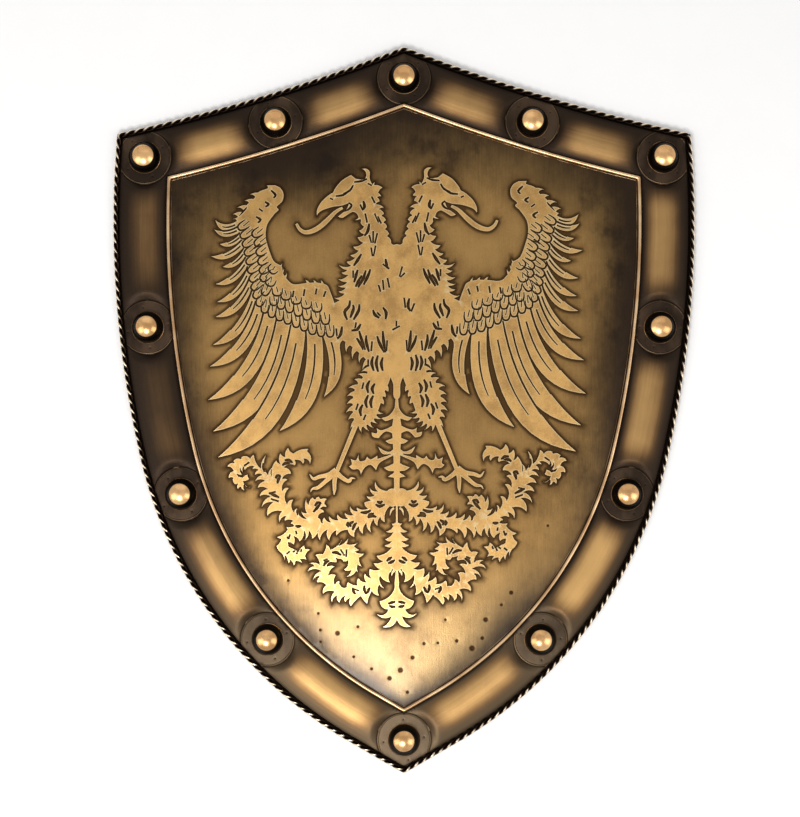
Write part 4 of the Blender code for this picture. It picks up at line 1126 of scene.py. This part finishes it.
def fieldFinish():
    look = Finish("agedFieldBrass")
    raised, shade, rimHighlight, pastDarkEdge, pit, back, low = look.masks(
        "raised", "shade", "rimHighlight", "pastDarkEdge", "pit", "back", "low")
    streaks, clouds, stain, speckle, blotch, dirt, smoke = (
        look.noise(*grain) for grain in fieldGrains.values())
    worn = streaks * 0.25 + clouds * 0.9 + stain * 0.6 + blotch * 0.25 + speckle * 0.3 - 0.5
    worn = worn.between(0.25, 0.95)
    ground = look.blend(worn, fieldColours["brown"], fieldColours["gold"])
    ground = look.blend(low * 0.40, ground, fieldColours["paintedGlare"])  # painted glare: paler towards the foot, where the low lamp's reflection falls
    ground = look.blend(low * dirt.between(0.48, 0.68) * 0.65, ground, fieldColours["brown"])
    relief = look.blend((blotch * 0.6 + clouds * 0.25 + speckle * 0.25).between(0.38, 0.66),
                        fieldColours["reliefDeep"], fieldColours["relief"])
    # the dark edge: patina along the bead, partly painted shade where the glare falls off
    ragged = pastDarkEdge + (stain - 0.5) * 1.3 + (blotch - 0.5) * 0.3 + (streaks - 0.5) * 0.15
    edge = 1 - ragged.between(-0.10, 1.30)
    colour = look.blend(raised, ground, relief)
    colour = look.blend(edge * (1 - raised * 0.75) * 0.96, colour, fieldColours["patina"])
    smoky = smoke.between(0.52, 0.72) * (edge * 0.75 + 0.08)
    colour = look.blend(smoky * (1 - raised), colour, fieldColours["patina"])
    colour = look.blend(shade * 0.95, colour, fieldColours["outline"])
    hole = pit.between(0.0, 0.6)
    colour = look.blend(hole * 0.95, colour, fieldColours["outline"])
    # painted highlight along the relief's rim
    colour = look.blend(rimHighlight * 0.9, colour, fieldColours["rim"])
    behind = (blotch * 0.45 + clouds * 0.35 + streaks * 0.2).between(0.36, 0.62)
    colour = look.blend(back, colour, look.blend(behind, fieldColours["backDeep"], fieldColours["back"]))
    rough = 0.37 + (speckle - 0.5) * 0.16 + (1 - worn) * 0.08 + shade * 0.2 - rimHighlight * 0.1
    grain = streaks * 0.6 + speckle * (0.4 + low * 0.8)
    return look.close(Base_Color=colour, Roughness=rough, Coat_Weight=low * (1 - shade) * (1 - hole) * 0.7,
                      Coat_Roughness=0.30, Normal=look.bump(grain, 0.0003, 0.6))


def borderTop(spots, shift):
    # of the upper side, or of the lower one where the shift is the sheet's thickness
    inset = insetOf(spots)
    thinned = numpy.where(inset < border["reach"] / 2, inset - shift, inset)
    along = (thinned - border["face"]) / (border["reach"] - border["face"])
    roll = border["roll"] * numpy.sin(math.pi * numpy.clip(along, 0.0, 1.0))
    away = nearestStud(spots)
    blend = stepUp(away, border["seatRadius"], border["seatRadius"] + border["seatBlend"])
    ridge = 0.0 if shift else ringProfile(away)
    wall = numpy.clip((inset - border["foot"] - shift) / border["wallRun"], 0.0, 1.0)
    level = shield["sheet"] - shift
    return level + (border["edgeLevel"] - shift + roll * blend + ridge - level) * wall


def ringProfile(away):
    # the thin ring pressed round each stud's seat, and the groove outside it
    half = border["ridgeWidth"] / 2
    paintedGlint = border["seatRadius"] + half

    def hump(middle):
        return (1 + numpy.cos(numpy.clip((away - middle) / half, -1, 1) * math.pi)) / 2

    return border["ridge"] * hump(paintedGlint) - border["groove"] * hump(paintedGlint + border["ridgeWidth"])


def stakeMarks():
    # four small punch marks round every stud, turned differently on each
    dice = random.Random(12)
    marks = []
    for stud in studs:
        turn = dice.uniform(0.0, math.pi / 2)
        marks += [stud + border["markRadius"] * turned(turn + quarter * math.pi / 2 + dice.uniform(-0.2, 0.2))
                  for quarter in range(4)]
    return marks


def buildBorder(material):
    outer, inner = fullOutline(border["flangeInset"]), fullOutline(border["reach"])
    marks = stakeMarks()
    last = border["seatRadius"] + border["seatBlend"]
    ring = [border["seatRadius"] + step * border["ringStep"] for step in range(9)]
    sides = []
    for shift, rows, around, circles in (
        (0.0, border["rows"], border["around"], [*border["circles"], *ring, *border["circlesOut"], last]),
        (shield["sheet"], border["rowsBelow"], border["aroundBelow"], [border["circles"][-1], last]),
    ):
        foot, head = fullOutline(border["foot"] + shift), fullOutline(border["face"] + shift)
        loose = asArray([spot for row in range(1, rows) for spot in fullOutline(
            border["face"] + (border["reach"] - border["face"]) * row / rows)])
        loose = loose[nearestStud(loose) > last + 0.001]
        extra = [spot for stud in studs for reach in circles for spot in circle(stud, reach, around)]
        for mark in [] if shift else marks:
            extra += [mark] + circle(mark, border["markSize"] * 0.5, 6) + circle(mark, border["markSize"], 10)
        extra = asArray(extra)
        depth = insetOf(extra)
        extra = extra[(depth > border["face"] + shift + 0.0003) & (depth < border["reach"] - 0.0003)]
        spots = [point(x, y) for x, y in numpy.vstack([loose, extra])]
        flat, faces, _ = triangulate([outer, inner, foot, head], [], spots)
        middles = flat[numpy.array(faces)].mean(axis=1)
        faces = [face for face, inset in zip(faces, insetOf(middles)) if inset < border["reach"] - 1e-5]
        faces = wound(flat, faces, not shift)
        live, faces = onlyUsed(faces)
        flat = flat[live]
        sides.append((numpy.column_stack([flat, borderTop(flat, shift)]), faces))
    topSpots = sides[0][0]
    markTree = makeTree([(mark.x, mark.y) for mark in marks])
    dent = 1 - stepUp(distances(topSpots[:, :2], markTree), 0.0, border["markSize"])
    topSpots[:, 2] -= dent * border["markDepth"]
    spots, faces = closeSheet(*sides)
    away, inset = nearestStud(spots), insetOf(spots)
    top = numpy.arange(len(spots)) < len(topSpots)
    across = (inset - border["face"]) / (border["reach"] - border["face"])
    # bright along the crest of the roll, dark at its sides and by the studs: polish and patina, partly
    # painted sheen of the rounded roll
    middle = stepUp(across, 0.02, 0.55) * stepUp(1 - across, -0.02, 0.32)
    left, right = (numpy.interp(spots[:, 1], border["polishAndSheenHeights"], border[side])
                   for side in ("polishAndSheenLeft", "polishAndSheenRight"))
    middle *= left + (right - left) * stepUp(spots[:, 0], -0.06, 0.06)
    profile = ringProfile(away) * top
    masks = {
        "polish": numpy.where(top, middle * stepUp(away, 0.0180, 0.0480), 0.2),
        # ring: painted highlight on the ridge; groove: painted shadow in the groove outside it
        "ring": numpy.clip(profile / border["ridge"], 0.0, 1.0),
        "groove": numpy.clip(-profile / border["groove"], 0.0, 1.0),
        "seat": (1 - stepUp(away, border["seatRadius"], border["seatRadius"] + 0.001)) * top,
        "mark": numpy.concatenate([dent, numpy.zeros(len(spots) - len(topSpots))]),
        # painted shadow in the gaps beside the twisted wire and beside the bead
        "wireShadow": numpy.maximum(1 - stepUp(inset, border["foot"] - 0.001, border["face"] + 0.002),
                              1 - stepUp(border["reach"] - inset, 0.0004, 0.0018)),
        "across": across,
        # low: the share towards the foot, where the glare is painted paler
        "low": stepUp(-spots[:, 1], 0.06, 0.26),
    }
    addPiece("rolledBorder", spots, faces, material, ["border_band"], masks, 30)


borderColours = {
    "gold": (0.62, 0.375, 0.145), "brown": (0.190, 0.105, 0.045), "patina": (0.034, 0.023, 0.016),
    # rim is the painted highlight on the ring's ridge, dark also the painted shadow in its groove
    # the two low colours are painted glare towards the foot
    "seat": (0.085, 0.054, 0.034), "seatUnderGlare": (0.16, 0.115, 0.072), "rim": (0.42, 0.27, 0.14),
    "dark": (0.012, 0.008, 0.006), "patinaUnderGlare": (0.125, 0.088, 0.052),
}
borderGrains = {
    "smoke": ((40.0, 18.0, 30.0), 4.0, 0.6, (2.2, 8.4, 0.0)),
    "clouds": ((22.0, 22.0, 22.0), 3.0, 0.6, (1.3, 5.2, 0.0)),
    "speckle": ((1500.0, 1500.0, 1500.0), 2.0, 0.6),
}


def borderFinish():
    look = Finish("agedBorderBrass")
    polish, ring, groove, seat, mark, wireShadow, across, low = look.masks(
        "polish", "ring", "groove", "seat", "mark", "wireShadow", "across", "low")
    smoke, clouds, speckle = (look.noise(*grain) for grain in borderGrains.values())
    # brushed along the border: the fourth axis of the noise runs across it
    spread = look.node("ShaderNodeMapping", {}, {0: look.place, 3: (9.0, 9.0, 9.0)})
    brushed = look.node("ShaderNodeTexNoise", {"noise_dimensions": "4D"}, {
        "Vector": spread, "W": across * 14.0, "Scale": 1.0, "Detail": 5.0, "Roughness": 0.7})
    # polish, partly painted sheen on the roll's crest
    worn = polish * (0.75 + smoke * 0.5) + (clouds - 0.5) * 0.3 * (polish + 0.3)
    worn = worn + (brushed - 0.5) * 0.45 * (polish + 0.15)
    # painted glare: the patina turns paler towards the foot
    dull = look.blend(low * 0.9, borderColours["patina"], borderColours["patinaUnderGlare"])
    colour = look.blend(worn.between(0.0, 0.5), dull, borderColours["brown"])
    colour = look.blend(worn.between(0.2, 1.05), colour, borderColours["gold"])
    patch = smoke * 0.6 + clouds * 0.4
    seatColour = look.blend(patch.between(0.42, 0.62), borderColours["patina"], borderColours["seat"])
    # painted glare: the seats turn paler towards the foot
    seatColour = look.blend(low * (patch + 0.15).between(0.3, 0.8), seatColour, borderColours["seatUnderGlare"])
    colour = look.blend(seat, colour, seatColour)
    # painted shadow in the groove outside the ring
    colour = look.blend(groove * 0.85, colour, borderColours["dark"])
    # painted highlight on the ring's ridge, stronger towards the foot as painted glare
    ridgeHighlight = 0.15 + patch.between(0.3, 0.75) * 0.55 + low * 0.3
    colour = look.blend(ring * ridgeHighlight, colour, borderColours["rim"])
    colour = look.blend(mark.between(0.2, 0.8) * 0.9, colour, borderColours["dark"])
    # painted shadow beside the twisted wire and the bead
    colour = look.blend(wireShadow, colour, borderColours["dark"])
    rough = 0.42 + (speckle - 0.5) * 0.16 + (1 - worn) * 0.08 - ring * 0.1
    grain = brushed * 0.5 + speckle * 0.5
    return look.close(Base_Color=colour, Roughness=rough, Normal=look.bump(grain, 0.0003, 0.75))


# the bright bead, and the fine wire that runs along its inner side, coloured dark as painted shadow
bead = {"radius": 0.0015, "lineRadius": 0.00034, "lineInset": 0.00235, "lineLevel": 0.0036,
        "bright": (0.95, 0.66, 0.38), "dull": (0.62, 0.375, 0.19), "dark": (0.045, 0.026, 0.013)}


def sweep(inset, level, radius, sides):
    # a closed round wire along the outline, with mitred corners
    loops = []
    for side in range(sides):
        turn = 2 * math.pi * side / sides
        loops.append([(spot.x, spot.y, level + radius * math.sin(turn))
                      for spot in fullOutline(inset + radius * math.cos(turn))])
    count = len(loops[0])
    spots = [spot for loop in loops for spot in loop]
    faces = []
    for side in range(sides):
        here, there = side * count, (side + 1) % sides * count
        for step in range(count):
            after = (step + 1) % count
            faces.append((here + step, here + after, there + after, there + step))
    return spots, faces


def buildBead(material):
    level = field["level"] + shield["gap"] + bead["radius"]
    inset = border["reach"] + shield["gap"] + bead["radius"]
    spots, faces = sweep(inset, level, bead["radius"], 12)
    more, moreFaces = sweep(inset + bead["lineInset"], bead["lineLevel"], bead["lineRadius"], 6)
    faces += [tuple(index + len(spots) for index in face) for face in moreFaces]
    masks = {"line": [0.0] * len(spots) + [1.0] * len(more)}
    addPiece("innerBead", spots + more, faces, material, ["inner_bead"], masks, 60)


def beadFinish():
    look = Finish("brightBeadBrass")
    clouds = look.noise((30.0, 30.0, 30.0), 3.0)
    [line] = look.masks("line")
    colour = look.blend(clouds.between(0.35, 0.7), bead["dull"], bead["bright"])
    # the fine wire coloured dark as painted shadow
    colour = look.blend(line * (1.2 - clouds), colour, bead["dark"])
    return look.close(Base_Color=colour, Roughness=0.26 + clouds * 0.12)


rope = {
    "radius": 0.0024, "shy": 0.0003, "rounding": 0.0022,  # whole wire, play inside the edge, corners
    "lay": 0.0156, "perTurn": 22, "sides": 8,  # length of one twist, stations along it, sides of a strand
    # dark: the wire's dark brass with painted shade between and inside the strands; bright: painted glint
    "dark": (0.014, 0.008, 0.005), "bright": (1.0, 0.82, 0.60),
}


def ropePath():
    # the outline at even steps, its corners a little rounded
    loop = asArray(fullOutline(rope["radius"] + rope["shy"]))
    closed = numpy.vstack([loop, loop[:1]])
    reach = numpy.concatenate([[0.0], numpy.cumsum(numpy.hypot(*numpy.diff(closed, axis=0).T))])
    turns = round(reach[-1] / rope["lay"])
    count = turns * rope["perTurn"]
    goals = numpy.arange(count) * reach[-1] / count
    line = numpy.column_stack([numpy.interp(goals, reach, closed[:, axis]) for axis in (0, 1)])
    half = round(rope["rounding"] / (reach[-1] / count))
    return sum(numpy.roll(line, shift, axis=0) for shift in range(-half, half + 1)) / (2 * half + 1), turns


def buildRope(material):
    line, turns = ropePath()
    count = len(line)
    along = numpy.roll(line, -1, axis=0) - numpy.roll(line, 1, axis=0)
    along /= numpy.hypot(along[:, 0], along[:, 1])[:, None]
    side = numpy.column_stack([-along[:, 1], along[:, 0], numpy.zeros(count)])
    up = numpy.array([0.0, 0.0, 1.0])
    level = shield["sheet"] + shield["gap"] + rope["radius"]
    axis = numpy.column_stack([line, numpy.full(count, level)])
    spots, faces, paintedGlint = [], [], []
    for strand in (0, 1):
        angle = -2 * math.pi * turns * numpy.arange(count) / count + math.pi * strand
        outward = numpy.cos(angle)[:, None] * side + numpy.sin(angle)[:, None] * up
        centre = axis + outward * rope["radius"] / 2
        run = numpy.roll(centre, -1, axis=0) - numpy.roll(centre, 1, axis=0)
        run /= numpy.linalg.norm(run, axis=1)[:, None]
        across = numpy.cross(run, outward)
        start = len(spots)
        for station in range(count):
            for step in range(rope["sides"]):
                turn = 2 * math.pi * step / rope["sides"]
                way = Vector(outward[station] * math.cos(turn) + across[station] * math.sin(turn))
                spots.append(Vector(centre[station]) + way * rope["radius"] / 2)
                # painted glint: on each strand's crest, most where it faces out from the shield
                inward = float(way.dot(Vector(side[station])))
                paintedGlint.append((1 + math.cos(turn)) / 2 * (0.62 + 0.38 * inward))
        for station in range(count):
            here, there = start + station * rope["sides"], start + (station + 1) % count * rope["sides"]
            for step in range(rope["sides"]):
                after = (step + 1) % rope["sides"]
                faces.append((here + step, there + step, there + after, here + after))
    masks = {"paintedGlint": paintedGlint}
    addPiece("twistedWire", spots, faces, material, ["rope_edge"], masks, 80)


def ropeFinish():
    look = Finish("darkWireBrass")
    [paintedGlint] = look.masks("paintedGlint")
    clouds = look.noise((120.0, 120.0, 120.0), 2.0)
    # painted glint on the crests, painted shade elsewhere
    worn = (paintedGlint + (clouds - 0.5) * 0.35).between(0.50, 0.74)
    colour = look.blend(worn, rope["dark"], rope["bright"])
    return look.close(Base_Color=colour, Roughness=0.36 - worn * 0.1)


stud = {
    "radius": 0.0128, "lip": 0.0006, "lipHeight": 0.0005, "tailRadius": 0.0044, "tailHeight": 0.0016,
    "steps": 18, "around": 48, "crown": math.radians(48),  # how far up the dome the polish starts
    "dark": (0.010, 0.008, 0.007), "dull": (0.72, 0.40, 0.165), "bright": (1.0, 0.60, 0.27),
}


def buildStud(number, place, material):
    seat = border["edgeLevel"] + shield["gap"]
    tailTop = border["edgeLevel"] - shield["sheet"] - shield["gap"]
    tailLow = tailTop - stud["tailHeight"]
    radius, lip, lipHeight, tail = stud["radius"], stud["lip"], stud["lipHeight"], stud["tailRadius"]
    # distance from the stud's axis, level, polish: up the riveted tail, under the rim, over the lip
    profile = [(0.0, tailLow, 0.3), (tail * 0.7, tailLow, 0.3), (tail, tailLow + 0.0005, 0.3),
               (tail, tailTop, 0.3), (radius * 0.5, seat - shield["sheet"] / 2, 0.0),
               (radius + lip * 0.6, seat - shield["gap"], 0.55),
               (radius + lip, seat + lipHeight * 0.4, 0.64), (radius + lip * 0.5, seat + lipHeight, 0.55)]
    for step in range(stud["steps"]):
        turn = math.asin(lipHeight / radius) + (math.pi / 2 - 0.04) * step / stud["steps"]
        crown = float(stepUp(numpy.array(turn), stud["crown"] - 0.10, stud["crown"] + 0.08))
        profile.append((radius * math.cos(turn), seat + radius * math.sin(turn), crown))
    peak = (0.0, seat + radius, 1.0)
    spots, crowns = [(place.x, place.y, profile[0][1])], [profile[0][2]]
    for reach, height, crown in profile[1:]:
        spots += [(spot.x, spot.y, height) for spot in circle(place, reach, stud["around"])]
        crowns += [crown] * stud["around"]
    spots.append((place.x, place.y, peak[1]))
    crowns.append(peak[2])
    rings = len(profile) - 1
    faces = []
    for step in range(stud["around"]):
        after = (step + 1) % stud["around"]
        faces.append((0, 1 + after, 1 + step))
        for ring in range(rings - 1):
            low, high = 1 + ring * stud["around"], 1 + (ring + 1) * stud["around"]
            faces.append((low + step, low + after, high + after, high + step))
        last = 1 + (rings - 1) * stud["around"]
        faces.append((last + step, last + after, len(spots) - 1))
    name, node, masks = f"domedStud{number:02d}", f"stud_{number:02d}", {"crown": crowns}
    addPiece(name, spots, faces, material, [node], masks, 45)


def studFinish():
    look = Finish("polishedStudBrass")
    [crown] = look.masks("crown")
    clouds = look.noise((90.0, 90.0, 90.0), 3.0)
    polish = (crown + (clouds - 0.5) * 0.4).between(0.35, 0.85)
    colour = look.blend(clouds.between(0.35, 0.65), stud["dull"], stud["bright"])
    colour = look.blend(polish, stud["dark"], colour)
    return look.close(Base_Color=colour, Roughness=0.33 - polish * 0.06 + (clouds - 0.5) * 0.10)


lights = {
    # name: place, size, power, colour
    "lowSoftbox": ((-0.27, -0.79, 1.25), (0.60, 0.50), 11.5, (1.0, 0.98, 0.96)),
    "leftSoftbox": ((-1.25, -0.50, 1.0), (0.9, 1.2), 5.5, (1.0, 0.98, 0.95)),
    "rightSoftbox": ((1.25, -0.45, 1.0), (0.9, 1.2), 5.5, (1.0, 0.98, 0.95)),
    "backSoftbox": ((0.0, 1.6, 1.2), (2.6, 1.4), 3.0, (1.0, 1.0, 1.0)),
}
surroundings = {"colour": (0.92, 0.92, 0.92), "strength": 0.62}
paleFloor = {"half": 3.0, "level": -0.0004, "colours": ((0.90, 0.90, 0.90), (0.93, 0.93, 0.93))}


def lightRoom():
    for name, (place, (wide, high), power, colour) in lights.items():
        data = bpy.data.lights.new(name, "AREA")
        data.shape = "RECTANGLE"
        data.size, data.size_y = wide, high
        data.energy, data.color = power, colour
        lamp = bpy.data.objects.new(name, data)
        lamp.location = place
        lamp.rotation_euler = (-Vector(place)).to_track_quat("-Z", "Y").to_euler()
        bpy.context.scene.collection.objects.link(lamp)
    world = bpy.data.worlds.new("paleRoom")
    world.use_nodes = True
    sky = world.node_tree.nodes["Background"]
    sky.inputs["Color"].default_value = (*surroundings["colour"], 1.0)
    sky.inputs["Strength"].default_value = surroundings["strength"]
    bpy.context.scene.world = world
    bpy.context.scene.view_settings.view_transform = "Standard"


def layFloor():
    mesh = bpy.data.meshes.new("paleFloor")
    half, level = paleFloor["half"], paleFloor["level"]
    mesh.from_pydata([(x * half, y * half, level) for x, y in ((-1, -1), (1, -1), (1, 1), (-1, 1))], [],
                     [(0, 1, 2, 3)])
    look = Finish("paleFloor", 0.0, 0.2)
    speckle = look.noise((30.0, 30.0, 30.0), 3.0)
    colour = look.blend(speckle, *paleFloor["colours"])
    mesh.materials.append(look.close(Base_Color=colour, Roughness=0.8 + speckle * 0.1))
    floor = bpy.data.objects.new("paleFloor", mesh)
    bpy.context.scene.collection.objects.link(floor)


placeCamera()
lightRoom()
layFloor()
print("camera, light and floor are set")
buildField(fieldFinish())
buildBorder(borderFinish())
buildBead(beadFinish())
buildRope(ropeFinish())
studLook = studFinish()
for number, place in enumerate(studs, 1):
    buildStud(number, place, studLook)
print("all pieces are made")
